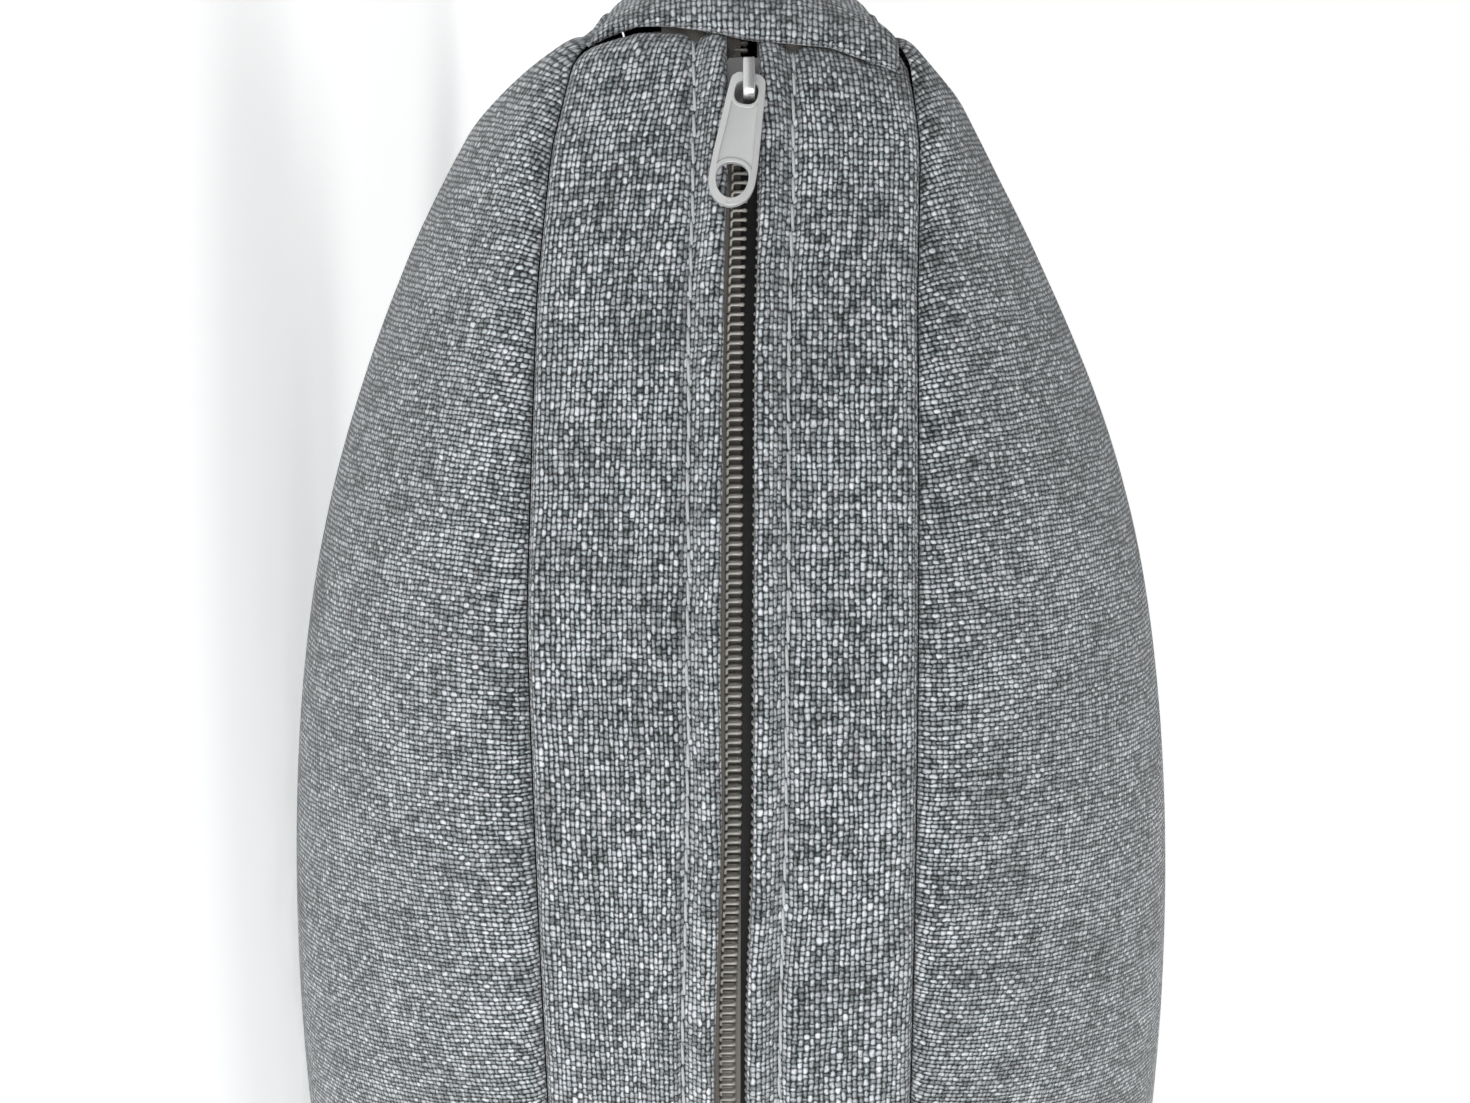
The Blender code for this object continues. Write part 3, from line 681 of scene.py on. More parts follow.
def finer(stations, times):
    """Extra stations between those given."""
    out = []
    for (a, na), (b, nb) in zip(stations, stations[1:]):
        for i in range(times):
            t = i / times
            n = na.lerp(nb, t).normalized()
            p = a.lerp(b, t)
            turn = na.angle(nb)
            # bulge the chord out to the arc between the stations
            chord = (b - a).length
            side = 1 if (nb - na).dot(b - a) > 0 else -1
            sag = side * chord * turn / 2 * t * (1 - t)
            out.append((p + n * sag, n))
    out.append(stations[-1])
    return out


def spline_point(p0, p1, p2, p3, t):
    """Catmull-Rom point between p1 and p2."""
    point = []
    for a, b, d, e in zip(p0, p1, p2, p3):
        square = 2 * a - 5 * b + 4 * d - e
        cube = 3 * b - a - 3 * d + e
        point.append(0.5 * (2 * b + (d - a) * t + square * t * t + cube * t ** 3))
    return tuple(point)


def smooth_path(points, count):
    """Smooth curve through (z, out) points, evenly spaced, with the run to each point."""
    dense = []
    pts = [points[0]] + list(points) + [points[-1]]
    for four in zip(pts, pts[1:], pts[2:], pts[3:]):
        dense += [spline_point(*four, i / 12) for i in range(12)]
    dense.append(tuple(points[-1]))
    walk = [0.0]
    for p, q in zip(dense, dense[1:]):
        walk.append(walk[-1] + math.dist(p, q))
    runs = [walk[-1] * i / count for i in range(count + 1)]
    first, second = (np.interp(runs, walk, column).tolist() for column in zip(*dense))
    return list(zip(first, second, runs))


def station_at(stations, run, s):
    """The point and outward normal at a run along the stations."""
    j = min(max(int(np.searchsorted(run, s)), 1), len(run) - 1)
    w = (s - run[j - 1]) / (run[j] - run[j - 1])
    point = stations[j - 1][0].lerp(stations[j][0], w)
    normal = stations[j - 1][1].lerp(stations[j][1], w).normalized()
    return point, normal


def bulge(half, z):
    """How far the wall stands out at a height."""
    return WALL_BULGE * max(0.0, 1 - (z / half) ** 2)


STITCH_LEVEL = 3.1 * MM
SEAM_TUCK = 1.9 * MM


def strip_profile(half, up):
    """Section of a zip strip from its seam over the lip and under it."""
    edge = SLOT_UP if up > 0 else SLOT_DOWN
    base = up * ZIP_Z
    stitch = base + edge + STITCH_FROM_EDGE
    lip = base + edge
    rim = half - 0.15 * MM
    points = [(rim, -SEAM_TUCK), (rim - 0.5 * MM, -0.5 * MM), (rim - 1.6 * MM, 0.5 * MM)]
    for share in (0.25, 0.5, 0.75):
        z = rim - 1.6 * MM + (stitch + 3 * MM - rim + 1.6 * MM) * share
        points.append((z, bulge(half, z) + 0.4 * MM))
    points.append((stitch + 2.2 * MM, bulge(half, stitch) + 0.45 * MM))
    points.append((stitch, STITCH_LEVEL))
    points.append((stitch - 1.6 * MM, 4.15 * MM))
    points.append((lip + 2.2 * MM, LIP_TOP - 0.05 * MM))
    points.append((lip + 0.8 * MM, LIP_TOP + 0.05 * MM))
    points.append((lip + 0.1 * MM, LIP_TOP - 0.5 * MM))
    points.append((lip, LIP_TOP - 1.2 * MM))
    points.append((lip + 0.45 * MM, LIP_UNDER + 0.1 * MM))
    points.append((lip + 2.0 * MM, LIP_UNDER + 0.05 * MM))
    if up > 0:
        points.append((base + 5.0 * MM, LIP_UNDER - 0.2 * MM))
    else:
        points.append((base + 5.2 * MM, LIP_UNDER - 0.3 * MM))
    return [(up * z, out) for z, out in points]


# sideways drift of the zip, by run from its near end
SWAY_RUN = (0.0, 20 * MM, 60 * MM, 125 * MM, 170 * MM, 270 * MM, 400 * MM)
SWAY_SIDE = (0.3 * MM, 0.3 * MM, -0.5 * MM, -0.7 * MM, -1.7 * MM, -0.4 * MM, 0.0)


def sway(run, z):
    """Sideways drift of the zip along its run, fading out to the seams."""
    fade = 1 - max(0.0, min(1.0, (abs(z - ZIP_Z) - 9 * MM) / (15 * MM)))
    i = max(1, min(int(np.searchsorted(SWAY_RUN, run)), len(SWAY_RUN) - 1))
    t = (run - SWAY_RUN[i - 1]) / (SWAY_RUN[i] - SWAY_RUN[i - 1])
    t = max(0.0, min(1.0, t))
    t = t * t * (3 - 2 * t)
    return fade * (SWAY_SIDE[i - 1] + (SWAY_SIDE[i] - SWAY_SIDE[i - 1]) * t)


STRIP_COLUMNS = 84
UNDERSIDE = 0.86 * STRIP_COLUMNS
FINE = 3  # strip rows to one fine station
STITCH_PITCH = 4.3 * MM


def strip_stations():
    """Stations along the zip, from its near end to its far end."""
    return finer(OUTER[ZIP_FIRST * SUB:ZIP_LAST * SUB + 1], FINE)


# the fold of the plain band's end over the strips: height, and run from the zip's near end
FOLD_HEIGHT = [d * MM for d in (-30, -21, -15, -6, 3, 16, 28)]
FOLD_RUN = [d * MM for d in (3.5, 1.0, 0.2, 2.2, 4.2, 4.4, 8.0)]


def fold_at(z):
    """Run at which the fold lies at a height."""
    return float(np.interp(z, FOLD_HEIGHT, FOLD_RUN))


def beside_fold(past, reach):
    """One at the fold, and less with the distance past it."""
    return math.exp(-max(past, 0.0) / reach)


def swell(s, z, up):
    """Broad unevenness of a strip."""
    return wave(s, z, up * 5.0, 34 * MM) * 0.8 * MM


def gathers(s, z, up, past):
    """Small folds of a strip that run out of the band's fold."""
    return wave(z, s * 0.25, up * 3.0, 6 * MM) * 0.9 * MM * beside_fold(past, 7 * MM)


def puff(past, off):
    """Soft hump of a strip beyond the band's fold, beside the stitching."""
    along = math.exp(-((past - 6 * MM) / (4.5 * MM)) ** 2)
    return 1.1 * MM * along * math.exp(-((off - 6 * MM) / (7 * MM)) ** 2)


def dimples(s, off):
    """A dent at each stitch."""
    beat = 0.5 + 0.5 * math.cos(2 * math.pi * s / STITCH_PITCH)
    return -0.35 * MM * math.exp(-(off / (0.8 * MM)) ** 2) * beat


def strip_relief(s, z, up, half, past, off):
    """Unevenness of a strip's face, from the seam to the lip."""
    seam = half - abs(z)
    pucker = wave(s, up * 2.0, 0.0, 9 * MM) * 0.35 * MM * math.exp(-((off - 2.5 * MM) / (4 * MM)) ** 2)
    broad = swell(s, z, up) * min(1.0, abs(seam) / (6 * MM))
    return pucker + broad + puff(past, off) + gathers(s, z, up, past) - 2.2 * MM * beside_fold(past, 2.2 * MM)


def strip_row(station, s, half, up):
    """One row of points across a strip, with their place on the cloth."""
    edge = SLOT_UP if up > 0 else SLOT_DOWN
    stitch_z = ZIP_Z + up * (edge + STITCH_FROM_EDGE)
    lip_wave = wave(s, up * 4.0, 3.0, 17 * MM) * 0.28 * MM
    row, uv = [], []
    for c, (z, out, walk) in enumerate(smooth_path(strip_profile(half, up), STRIP_COLUMNS)):
        off = abs(z - stitch_z)
        past = s - fold_at(z)
        out += dimples(s, off)
        out += wave(s, up * 9.0, 1.0, 12 * MM) * 0.35 * MM * math.exp(-abs(half - abs(z)) / (7 * MM))
        if c > UNDERSIDE:
            out -= 1.0 * MM * beside_fold(past, 2.2 * MM)
        else:
            out += strip_relief(s, z, up, half, past, off)
        lip = lip_wave * math.exp(-max(0.0, abs(z - ZIP_Z) - edge) / (2.0 * MM))
        row.append(at(station, out + 0.25 * lip, z + up * 0.8 * lip + sway(s, z)))
        uv.append((s + 0.5, (walk if up > 0 else -walk) + 0.3))
    return row, uv


def make_strip(name, up, mat, node):
    """Cloth strip beside the zip, folded back along it."""
    stations = strip_stations()
    run = lengths(stations)
    rows, uvs = [], []
    for i, station in enumerate(stations):
        k, share = divmod(min(ZIP_FIRST * SUB + i / FINE, LAST), 1)
        k = int(k)
        half = half_at(k, up) * (1 - share) + half_at(min(k + 1, LAST), up) * share
        row, uv = strip_row(station, run[i], half, up)
        rows.append(row)
        uvs.append(uv)
    item = add_piece(name, grid_mesh(name, rows, uvs), mat, "pillow", node)
    ensure_outward(item)
    thicken(item, 0.55 * MM)


def ensure_outward(item):
    """Point a wall's faces away from the cushion's inside."""
    total = 0.0
    for poly in list(item.data.polygons)[::37]:
        k = min(range(0, LAST + 1, 4), key=lambda q: (middle(q) + ORIGIN - poly.center).length)
        away = poly.center - (middle(k) + ORIGIN)
        away.z = 0
        total += poly.normal.dot(away.normalized()) * poly.area
    if total < 0:
        item.data.flip_normals()


make_strip("strip_upper", 1, CLOTH_UP, "zip_strip_upper")
make_strip("strip_lower", -1, CLOTH_DOWN, "zip_strip_lower")


def band_path():
    """Fine stations of the plain band, from the zip's far end to its near end."""
    far = [(OUTER[k], k) for k in range(ZIP_LAST * SUB, LAST + 1)]
    inner = [(INNER[k], k) for k in range(LAST - 1, 0, -1)]
    near = [(OUTER[k], k) for k in range(ZIP_FIRST * SUB + 1)]
    return far + inner + near


BAND_COLUMNS = 40
BAND_LIFT = 0.4 * MM
FOLD_LIFT = 0.7 * MM
TIP_PUFF = 4.0 * MM
TIP_PUFF_REACH = 55 * MM
TIP_PUFF_CORNER = 8 * MM


def tip_puff(station, z, half):
    """Extra roundness of the band over a tip's outer corner and its end."""
    near, k = min(((station[0] - OUTER[k][0]).length, k) for k in (TIP_AT, LAST - TIP_AT))
    corner = ZIP_FIRST * SUB if k < LAST / 2 else LAST - ZIP_FIRST * SUB
    way = (OUTER[corner][0] - OUTER[k][0]).normalized()
    reach = TIP_PUFF_CORNER if (station[0] - OUTER[k][0]).dot(way) > 0 else TIP_PUFF_REACH
    return TIP_PUFF * math.exp(-(near / reach) ** 2) * max(0.0, 1 - (z / half) ** 2)


def band_heights(k):
    """Heights across the band at a station, with each side's half height."""
    out = []
    for c in range(BAND_COLUMNS + 1):
        share = -math.cos(math.pi * c / BAND_COLUMNS)
        half = half_at(k, share)
        out.append((share * (half - 0.15 * MM), half))
    return out


def band_face(station, run, z, half, ease):
    """How far out the band's face stands."""
    near = half - abs(z)
    out = bulge(half, z) + BAND_LIFT - SEAM_TUCK * ease * math.exp(-near / (0.9 * MM))
    out += wave(run, z, 7.0, 30 * MM) * 0.8 * MM * min(1.0, near / (6 * MM))
    return out + tip_puff(station, z, half)


def band_rows():
    """Rows of the band between its two ends."""
    path = band_path()
    run = lengths([s for s, _ in path])
    rows, uvs = [], []
    for s, (station, k) in zip(run, path):
        # the cloth stands a little higher at both ends, where it is folded
        fold = FOLD_LIFT * math.exp(-(run[-1] - s) / (9 * MM)) + 0.5 * MM * math.exp(-s / (9 * MM))
        row, uv = [], []
        for z, half in band_heights(k):
            near = half - abs(z)
            out = band_face(station, s, z, half, tip_ease(k)) + fold * min(1.0, near / (3 * MM))
            ripple = wave(s, 3.0 * (1 if z > 0 else 2), 1.0, 11 * MM)
            out += ripple * 0.35 * MM * math.exp(-near / (7 * MM))
            row.append(at(station, out, z))
            uv.append((s + 4.0, z + 0.9))
        rows.append(row)
        uvs.append(uv)
    return rows, uvs, run[-1]


# the folded end over the strips: share of the way to the fold, and how far it is turned under
FOLD_STEPS = ((0.25, 0), (0.5, 0), (0.72, 0), (0.88, 0.12), (0.96, 0.4), (1.0, 0.9), (1.0, 1.5), (0.97, 2.0))


def near_end_rows(total):
    """Rows of the band's near end: each column runs to its own fold, then turns under."""
    k = ZIP_FIRST * SUB
    stations = finer([OUTER[q] for q in range(k, k + 12)], 4)
    run = lengths(stations)
    rows, uvs = [], []
    for share, drop in FOLD_STEPS:
        row, uv = [], []
        for z, half in band_heights(k):
            near = half - abs(z)
            reach = fold_at(z) * share + 0.4 * MM
            station = station_at(stations, run, reach)
            out = band_face(station, total + reach, z, half, 1.0)
            out += FOLD_LIFT * min(1.0, near / (3 * MM)) - drop * MM * min(1.0, near / (2 * MM))
            row.append(at(station, out, z))
            uv.append((total + reach + drop * MM + 4.0, z + 0.9))
        rows.append(row)
        uvs.append(uv)
    return rows, uvs


def far_end_rows(first_row, first_uv):
    """Rows of the band's far end, turned under."""
    path = band_path()
    station = path[0][0]
    way = (path[1][0][0] - station[0]).normalized()
    rows, uvs = [], []
    for back, drop in ((1.2 * MM, 2.0), (0.5 * MM, 1.3), (0.1 * MM, 0.6)):
        shift = way * (back - 1.2 * MM) * 0.3 - station[1] * drop * MM
        rows.append([p + shift for p in first_row])
        uvs.append([(4.0 - drop * MM, v) for _, v in first_uv])
    return rows, uvs


def make_band(mat):
    """Plain part of the side wall."""
    rows, uvs, total = band_rows()
    near_rows, near_uvs = near_end_rows(total)
    far_rows, far_uvs = far_end_rows(rows[0], uvs[0])
    mesh = grid_mesh("side_wall", far_rows + rows + near_rows, far_uvs + uvs + near_uvs)
    item = add_piece("side_wall", mesh, mat, "pillow", "side_band")
    ensure_outward(item)
    thicken(item, 0.8 * MM)


make_band(CLOTH_BAND)


# ---- zip coil and its stitching ----
COIL_PITCH = 1.5 * MM
COIL_WIRE = 0.26 * MM  # radius
COIL_FAR = 2.75 * MM


def coil_turn(near):
    """One turn as (share of the pitch, across, out, thickness)."""
    low = TAPE_TOP + 0.36 * MM
    high = COIL_TOP - 0.30 * MM
    far = COIL_FAR
    turn = [(0.0, far, low, 1.0), (0.0, near + 0.5 * MM, low, 1.0), (0.02, near + 0.1 * MM, low, 1.15)]
    turn += [(0.08, near, (low + high) / 2, 1.3), (0.14, near + 0.1 * MM, high, 1.3)]
    turn += [(0.16, near + 0.6 * MM, high, 1.0), (0.16, far - 0.3 * MM, high, 1.0)]
    # the far bend steps on to the next turn
    turn += [(0.30, far + 0.1 * MM, high - 0.25 * MM, 1.0), (0.85, far + 0.1 * MM, low + 0.2 * MM, 1.0)]
    return turn


def make_coil(name, up, near, mat, node):
    """Turns of one half of the coil, each a bent loop on the tape."""
    stations = strip_stations()
    run = lengths(stations)
    curve = bpy.data.curves.new(name, "CURVE")
    curve.dimensions = "3D"
    curve.bevel_depth = COIL_WIRE
    curve.bevel_resolution = 1
    curve.use_fill_caps = True
    points = []
    for i in range(int(run[-1] / COIL_PITCH)):
        for step, across, out, thick in coil_turn(near):
            s = (i + step) * COIL_PITCH
            place = at(station_at(stations, run, s), out, ZIP_Z + up * across + sway(s, ZIP_Z))
            points.append((place, thick))
    spline = curve.splines.new("POLY")
    spline.points.add(len(points) - 1)
    for point, (place, thick) in zip(spline.points, points):
        point.co = (*place, 1)
        point.radius = thick
    mesh = curve_mesh(curve)
    mesh.shade_smooth()
    mesh.materials.clear()
    add_piece(name, mesh, mat, "pillow", node)


COIL_MAT = nylon("coil_nylon", (0.40, 0.385, 0.35))
make_coil("coil_upper", 1, 1.35 * MM, COIL_MAT, "zip_coil_upper")
make_coil("coil_lower", -1, 0.66 * MM, COIL_MAT, "zip_coil_lower")


THREAD_RADIUS = 0.27 * MM
THREAD_SIDES = 6
STITCH_START = 3.5 * MM
STITCH_OFFSET = 1.6 * MM  # of the upper row against the lower
# one stitch as (share of the pitch, rise in mm, thickness)
STITCH = [(0.04, -0.35, 0.5), (0.10, -0.05, 0.9), (0.25, 0.12, 1.0), (0.5, 0.16, 1.05)]
STITCH += [(0.75, 0.12, 1.0), (0.88, -0.05, 0.9), (0.94, -0.35, 0.5)]


def tube(path):
    """Points of a thread round a path of (place, thickness)."""
    verts = []
    places = [p for p, _ in path]
    for i, (p, scale) in enumerate(path):
        way = (places[min(i + 1, len(path) - 1)] - places[max(i - 1, 0)]).normalized()
        side = way.cross(Vector((0, 0, 1))).normalized()
        top = side.cross(way)
        for j in range(THREAD_SIDES):
            a = 2 * math.pi * j / THREAD_SIDES
            verts.append(p + (side * math.cos(a) + top * math.sin(a)) * THREAD_RADIUS * scale)
    return verts


def make_stitches(name, up, mat, node):
    """A row of stitches in the valley beside the zip."""
    stations = strip_stations()
    run = lengths(stations)
    z = ZIP_Z + up * ((SLOT_UP if up > 0 else SLOT_DOWN) + STITCH_FROM_EDGE)
    start = STITCH_START + (STITCH_OFFSET if up > 0 else 0.0)
    verts, faces = [], []
    for i in range(int((run[-1] - start - 3 * MM) / STITCH_PITCH)):
        path = []
        wobble = wave(i, up * 3.0, 0.5, 2.3) * 0.25 * MM
        for share, rise, scale in STITCH:
            s = start + (i + share) * STITCH_PITCH
            past = s - fold_at(z)
            out = STITCH_LEVEL + (0.02 + rise) * MM - 2.2 * MM * beside_fold(past, 2.2 * MM)
            out += swell(s, z, up) + puff(past, 0) + gathers(s, z, up, past)
            slant = 0.22 * MM * (share - 0.5)
            path.append((at(station_at(stations, run, s), out, z + wobble + slant + sway(s, z)), scale))
        base = len(verts)
        verts += tube(path)
        faces += [tuple(a + base for a in face) for face in ring_faces(len(path), THREAD_SIDES)]
    mesh = bpy.data.meshes.new(name)
    mesh.from_pydata([tuple(v) for v in verts], [], faces)
    mesh.shade_smooth()
    outward(add_piece(name, mesh, mat, "pillow", node))


THREAD_MAT = thread_cloth("thread_grey", (0.55, 0.57, 0.58))
make_stitches("stitches_upper", 1, THREAD_MAT, "topstitch_upper")
make_stitches("stitches_lower", -1, THREAD_MAT, "topstitch_lower")


# ---- slider, bridge and pull ----
def cad(node):
    """The model's own piece."""
    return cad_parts[node]


def give(node, mat):
    """Show one of the model's own pieces with this material."""
    item = cad(node)
    item.data.materials.clear()
    item.data.materials.append(mat)


TAPE_MAT = tape_cloth("tape_weave", (0.17, 0.155, 0.14))
give("zip_tape_upper", TAPE_MAT)
give("zip_tape_lower", TAPE_MAT)
PAINT = metal("slider_paint", (0.50, 0.505, 0.50), 0.38, 0.15, 0.3)
STEEL = metal("bridge_steel_shine", (0.60, 0.60, 0.60), 0.22, 0.9)
give("slider_body", metal("slider_dark", (0.20, 0.20, 0.20), 0.4, 0.7))

SLIDER_LONG = 10 * MM
PULL_LONG = 22.0 * MM
PULL_TOP = 5.6 * MM
PULL_BOTTOM = 7.4 * MM
PULL_THICK = 1.3 * MM
PULL_BAR = 0.4 * MM
PULL_TILT = 9.0
PULL_MID = LIP_TOP + 0.35 * MM + PULL_THICK / 2
STRAP_THICK = 0.8 * MM
BRIDGE_TOP = PULL_MID + PULL_THICK / 2 + 0.35 * MM + STRAP_THICK
BRIDGE_FOOT = 3.15 * MM
BRIDGE_FRONT = 3.9 * MM
BRIDGE_REAR = -3.2 * MM
REST_ANGLE = OUTER_START + math.degrees((SLIDER_LONG / 2 + 1 * MM) / OUTER_RADIUS)


def axes(x, y, z, place):
    """Transform with these three axes at a place."""
    return Matrix([*zip(x, y, z, place), (0, 0, 0, 1)])


def slider_frame():
    """Transform of the slider at rest: along the zip, across it and outward."""
    out = heading(REST_ANGLE)
    along = right_of(REST_ANGLE)
    return axes(along, out.cross(along), out, ORIGIN + Vector((0, 0, ZIP_Z)) + out * OUTER_RADIUS)


def strap_path():
    """Middle line of the bridge: along the slider, and outward."""
    top = BRIDGE_TOP - STRAP_THICK / 2
    front = BRIDGE_FRONT - STRAP_THICK / 2
    rear = BRIDGE_REAR + STRAP_THICK / 2
    path = [(front, BRIDGE_FOOT), (front, BRIDGE_FOOT + 0.9 * MM), (front, top - 1.9 * MM)]
    path += [(front - 0.12 * MM, top - 1.0 * MM), (front - 0.55 * MM, top - 0.38 * MM)]
    path += [(front - 1.25 * MM, top - 0.06 * MM), (front - 2.2 * MM, top)]
    path += [(rear + 2.4 * MM, top), (rear + 1.5 * MM, top - 0.05 * MM)]
    path += [(rear + 0.75 * MM, top - 0.42 * MM), (rear + 0.2 * MM, top - 1.1 * MM)]
    path += [(rear, top - 2.1 * MM), (rear, BRIDGE_FOOT)]
    return smooth_path(path, 40)


def strap_section():
    """Flat section with rounded corners, as (across, through)."""
    wide, thick, corner = 0.95 * MM, 0.38 * MM, 0.18 * MM
    out = []
    for x, y, first in ((1, 1, 0), (-1, 1, 90), (-1, -1, 180), (1, -1, 270)):
        for i in range(4):
            a = math.radians(first + 30 * i)
            across = x * (wide - corner) + corner * math.cos(a)
            out.append((across, y * (thick - corner) + corner * math.sin(a)))
    return out


def make_bridge(mat):
    """Flat strap with rounded edges, bent from one strip of steel."""
    path, section = strap_path(), strap_section()
    verts = []
    for i, (x, z, _) in enumerate(path):
        ahead, behind = path[min(i + 1, len(path) - 1)], path[max(i - 1, 0)]
        way_x, way_z = ahead[0] - behind[0], ahead[1] - behind[1]
        length = math.hypot(way_x, way_z)
        verts += [(x + way_z / length * b, a, z - way_x / length * b) for a, b in section]
    mesh = bpy.data.meshes.new("bridge_strap")
    mesh.from_pydata(verts, [], ring_faces(len(path), len(section)))
    mesh.transform(slider_frame())
    for poly in mesh.polygons:
        poly.use_smooth = len(poly.vertices) == 4
    outward(add_piece("bridge_strap", mesh, mat, "slider", "slider_bridge"))


make_bridge(STEEL)


def rounded_loop(points, cuts):
    """Closed loop smoothed through its corners."""
    out = []
    n = len(points)
    for i in range(n):
        p0, p1, p2, p3 = points[i - 1], points[i], points[(i + 1) % n], points[(i + 2) % n]
        out += [spline_point(p0, p1, p2, p3, cut / cuts) for cut in range(cuts)]
    return out


def pull_outline(inset):
    """Edge of the pull: narrow at its bar, wide and round at its end."""
    start = PULL_THICK / 2 - inset
    end = PULL_THICK / 2 - PULL_LONG + inset
    top = PULL_TOP / 2 - inset
    low = PULL_BOTTOM / 2 - inset
    side = [(start, top - 1.5 * MM), (start - 0.45 * MM, top - 0.55 * MM), (start - 1.7 * MM, top)]
    side += [(start - 8 * MM, (top + low) / 2), (end + 5.5 * MM, low)]
    side += [(end + 2.4 * MM, low - 0.4 * MM), (end + 0.8 * MM, low - 1.5 * MM), (end, low - 3.1 * MM)]
    return rounded_loop(side + [(x, -y) for x, y in side[::-1]], 5)


def rounded(value, power):
    """A power that keeps the sign."""
    return math.copysign(abs(value) ** power, value)


def oval(cx, half_x, half_y, count, power, taper=0.0):
    """Oval loop; a low power makes it squarer and a taper widens one end."""
    out = []
    for i in range(count):
        a = 2 * math.pi * i / count
        x = rounded(math.cos(a), power)
        y = rounded(math.sin(a), power) * (1 - taper * x)
        out.append((cx + half_x * x, half_y * y))
    return out


def flat_part(loops, low, high, edge):
    """Plate between two levels, with holes and rounded edges."""
    curve = bpy.data.curves.new("flat", "CURVE")
    curve.dimensions = "2D"
    curve.fill_mode = "BOTH"
    curve.extrude = (high - low) / 2 - edge
    curve.bevel_depth = edge
    curve.bevel_resolution = 3
    curve.offset = -edge
    for loop in loops:
        spline = curve.splines.new("POLY")
        spline.points.add(len(loop) - 1)
        for point, (x, y) in zip(spline.points, loop):
            point.co = (x, y, 0, 1)
        spline.use_cyclic_u = True
    mesh = curve_mesh(curve)
    mesh.transform(Matrix.Translation((0, 0, (low + high) / 2)))
    return mesh


PULL_END = PULL_THICK / 2 - PULL_LONG
EYE_X = -PULL_THICK / 2 - 1.95 * MM
GRIP_X = PULL_END + 4.2 * MM
GRIP_TAPER = -0.12


def pull_layers():
    """Plate, raised rim, and a collar round each hole."""
    top = PULL_THICK / 2
    low = -0.1 * MM
    eye = oval(EYE_X, 1.95 * MM, 1.85 * MM, 40, 0.75)
    grip = oval(GRIP_X, 2.9 * MM, 2.5 * MM, 44, 0.9, GRIP_TAPER)
    eye_collar = oval(EYE_X, 2.55 * MM, 2.45 * MM, 40, 0.8)
    grip_collar = oval(GRIP_X, 3.6 * MM, 3.15 * MM, 44, 0.9, GRIP_TAPER)
    edge = pull_outline(0.0)
    plate = flat_part([edge, eye, grip], -top, top - 0.28 * MM, 0.2 * MM)
    rim = flat_part([edge, pull_outline(0.75 * MM)], low, top, 0.18 * MM)
    eye_ring = flat_part([eye_collar, eye], low, top - 0.02 * MM, 0.16 * MM)
    grip_ring = flat_part([grip_collar, grip], low, top - 0.02 * MM, 0.16 * MM)
    return plate, rim, eye_ring, grip_ring


def make_pull(mat):
    """Painted pull, turned a little about its eye."""
    bm = bmesh.new()
    for layer in pull_layers():
        bm.from_mesh(layer)
    bmesh.ops.remove_doubles(bm, verts=bm.verts, dist=1e-7)
    mesh = bpy.data.meshes.new("pull_plate")
    bm.to_mesh(mesh)
    bm.free()
    tilt = Matrix.Rotation(-math.radians(PULL_TILT), 4, "Z")
    mesh.transform(slider_frame() @ Matrix.Translation((PULL_BAR, 0, PULL_MID)) @ tilt)
    mesh.shade_smooth()
    mesh.set_sharp_from_angle(angle=math.radians(50))
    add_piece("pull_plate", mesh, mat, "pull", "pull_tab")


make_pull(PAINT)


# ---- inner cushion ----
DEEP = 60 * MM  # hidden pieces are drawn towards a place this far from each tip
DRAW_REACH = 65 * MM


def draw_in(name, node, mat):
    """A hidden piece, drawn in at the tips so that it stays under the cover."""
    source = cad(node)
    mesh = source.data.copy()
    mesh.transform(source.matrix_world)
    mesh.materials.clear()
    deep = max(k for k in range(LAST // 2) if TIP_DISTANCE[k] < DEEP)
    ends = [(middle(0), middle(deep)), (middle(LAST), middle(LAST - deep))]
    ends = [(ORIGIN + tip, ORIGIN + inside) for tip, inside in ends]
    for vertex in mesh.vertices:
        tip, inside = min(ends, key=lambda end: (vertex.co.xy - end[0].xy).length)
        near = (vertex.co.xy - tip.xy).length
        pull = math.exp(-(near / DRAW_REACH) ** 2)
        goal = Vector((inside.x, inside.y, ORIGIN.z))
        vertex.co = vertex.co.lerp(goal, 0.2 * pull)
        vertex.co.z = ORIGIN.z + (vertex.co.z - ORIGIN.z) * (1 - 0.3 * pull)
    add_piece(name, mesh, mat, "pillow", node)


# the liner is painted near-black as painted shadow: it shows only through the zip's slot, where it lies in
# shade
LINER_SHADOW_BLACK = tape_cloth("liner_painted_shadow", (0.022, 0.022, 0.022))
FIBRE = tape_cloth("filling_fibre", (0.6, 0.6, 0.6))
draw_in("liner_top", "inner_shell_top", LINER_SHADOW_BLACK)
draw_in("liner_bottom", "inner_shell_bottom", LINER_SHADOW_BLACK)
draw_in("filling_fibre", "filling", FIBRE)


# ---- stage, light and camera ----
FLOOR_HALF = 6.0
FLOOR_DROP = 0.4 * MM
FLOOR_GLOW = 0.55
ROOM_LIGHT = 0.34
CAM_ANGLE = OUTER_START + 14.8
CAM_DISTANCE = 500 * MM
CAM_Z = THICKNESS / 2 + 0.7 * MM
CAM_LENS = 78.367  # mm, on a sensor 36 mm wide
CAM_TILT = 1.4858  # degrees
SENSOR = 36.0

RING = Vector((0, CENTRE_Y, 0))
OUT_WAY = heading(CAM_ANGLE)
UP_WAY = right_of(CAM_ANGLE)


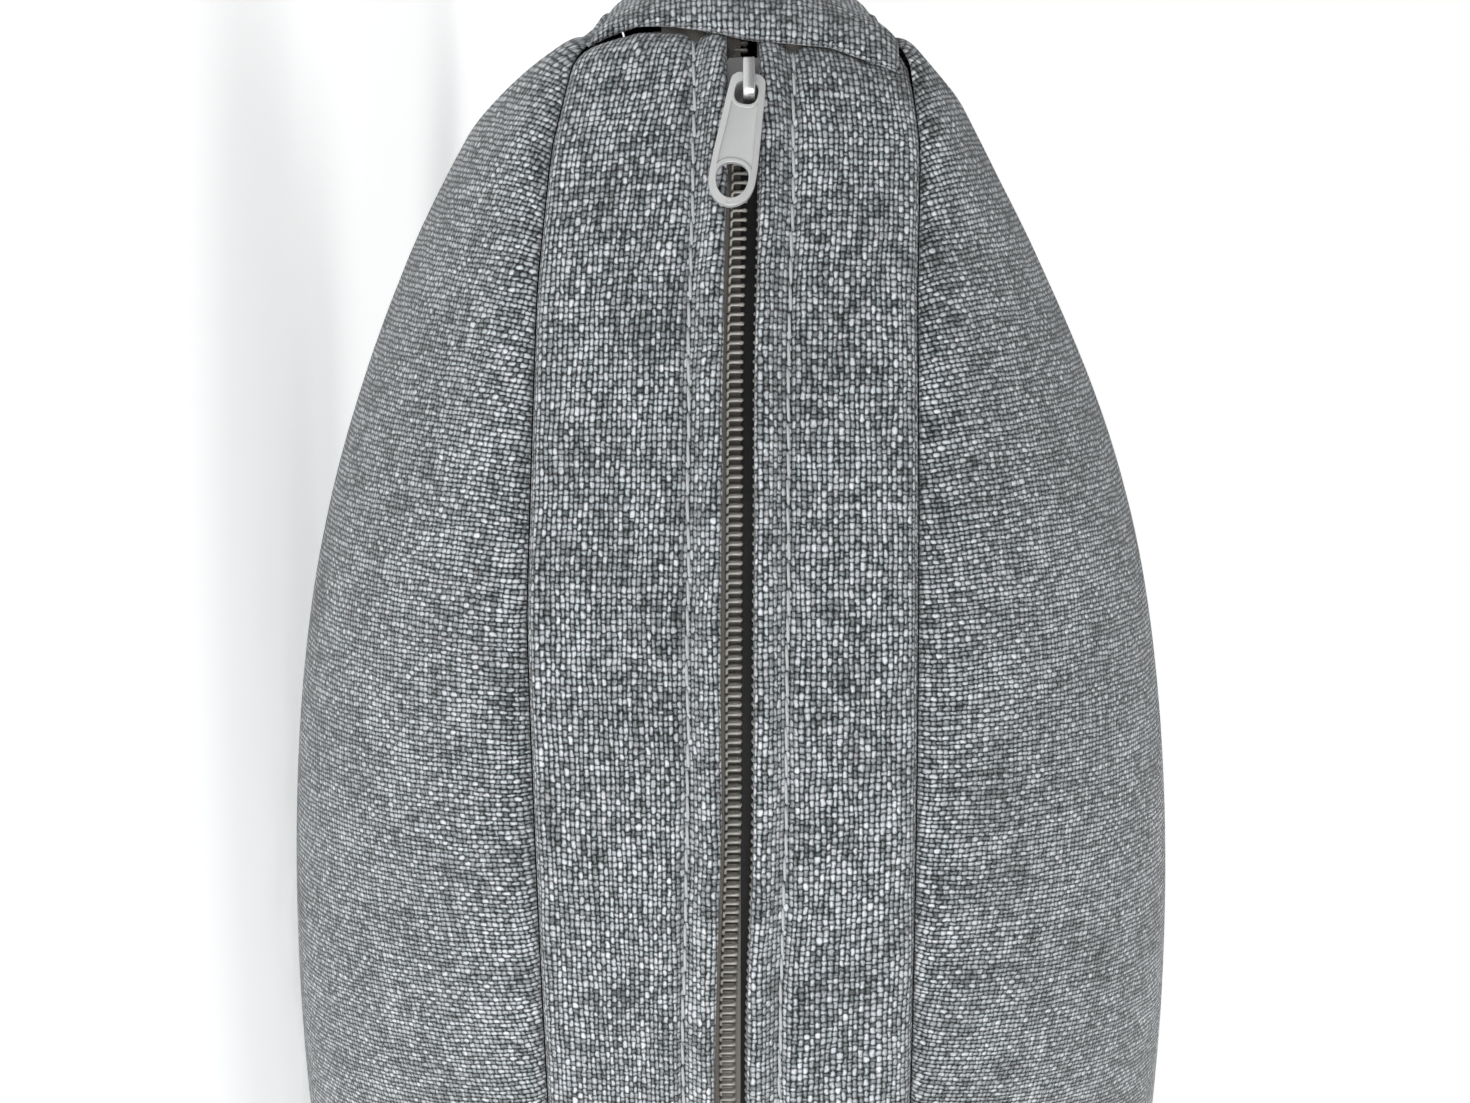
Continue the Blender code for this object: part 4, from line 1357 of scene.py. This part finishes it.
def make_floor():
    """Plain pale floor."""
    mesh = bpy.data.meshes.new("floor")
    h = FLOOR_HALF
    mesh.from_pydata([(-h, -h, 0), (h, -h, 0), (h, h, 0), (-h, h, 0)], [], [(0, 1, 2, 3)])
    item = bpy.data.objects.new("floor", mesh)
    bpy.context.scene.collection.objects.link(item)
    item.location.z = -FLOOR_DROP
    n = Nodes("floor_white")
    n.set(Base_Color=(0.85, 0.85, 0.85, 1), Roughness=0.9)
    n.set(Emission_Color=(1, 1, 1, 1), Emission_Strength=FLOOR_GLOW)
    mesh.materials.append(n.mat)


def make_world():
    """White surroundings that light the object softly."""
    world = bpy.data.worlds.new("studio")
    bpy.context.scene.world = world
    world.use_nodes = True
    tree = world.node_tree
    tree.nodes.clear()
    output = tree.nodes.new("ShaderNodeOutputWorld")
    mix = tree.nodes.new("ShaderNodeMixShader")
    path = tree.nodes.new("ShaderNodeLightPath")
    light = tree.nodes.new("ShaderNodeBackground")
    seen = tree.nodes.new("ShaderNodeBackground")
    light.inputs[0].default_value = (0.97, 0.985, 1.0, 1)
    light.inputs[1].default_value = ROOM_LIGHT
    seen.inputs[0].default_value = (1, 1, 1, 1)
    seen.inputs[1].default_value = 1.0
    tree.links.new(path.outputs["Is Camera Ray"], mix.inputs[0])
    tree.links.new(light.outputs[0], mix.inputs[1])
    tree.links.new(seen.outputs[0], mix.inputs[2])
    tree.links.new(mix.outputs[0], output.inputs[0])


def look(place, forward, up):
    """Transform of a camera or light at a place that looks forward."""
    z = -forward.normalized()
    x = up.cross(z).normalized()
    return axes(x, z.cross(x), z, place)


def make_camera():
    """Camera that faces the first horn's end from outside."""
    data = bpy.data.cameras.new("camera")
    data.sensor_width = SENSOR
    data.lens = CAM_LENS
    data.clip_start = 0.01
    item = bpy.data.objects.new("camera", data)
    bpy.context.scene.collection.objects.link(item)
    place = RING + OUT_WAY * (OUTER_RADIUS + WALL_BULGE + CAM_DISTANCE) + Vector((0, 0, CAM_Z))
    forward = -OUT_WAY - UP_WAY * math.tan(math.radians(CAM_TILT))
    item.matrix_world = look(place, forward, UP_WAY)
    bpy.context.scene.camera = item


def make_light(name, place, target, size, power):
    """Round soft light."""
    data = bpy.data.lights.new(name, "AREA")
    data.shape = "DISK"
    data.size = size
    data.energy = power
    item = bpy.data.objects.new(name, data)
    bpy.context.scene.collection.objects.link(item)
    item.matrix_world = look(place, target - place, Vector((0, 0, 1)))


make_floor()
make_world()
make_camera()
LOW = Vector((0, 0, 0.08))
make_light("key", RING + OUT_WAY * 1.25 - UP_WAY * 0.7 + LOW, RING + OUT_WAY * 0.25 + LOW, 0.6, 14.0)
make_light("top", RING + Vector((0.0, 0.1, 1.6)), RING, 1.4, 7.0)
make_light("back", RING + Vector((-1.6, 0.9, 0.9)), RING, 1.2, 16.0)

view = bpy.context.scene.view_settings
view.view_transform = "Standard"
view.look = "None"
view.exposure = 0.0
view.gamma = 1.0

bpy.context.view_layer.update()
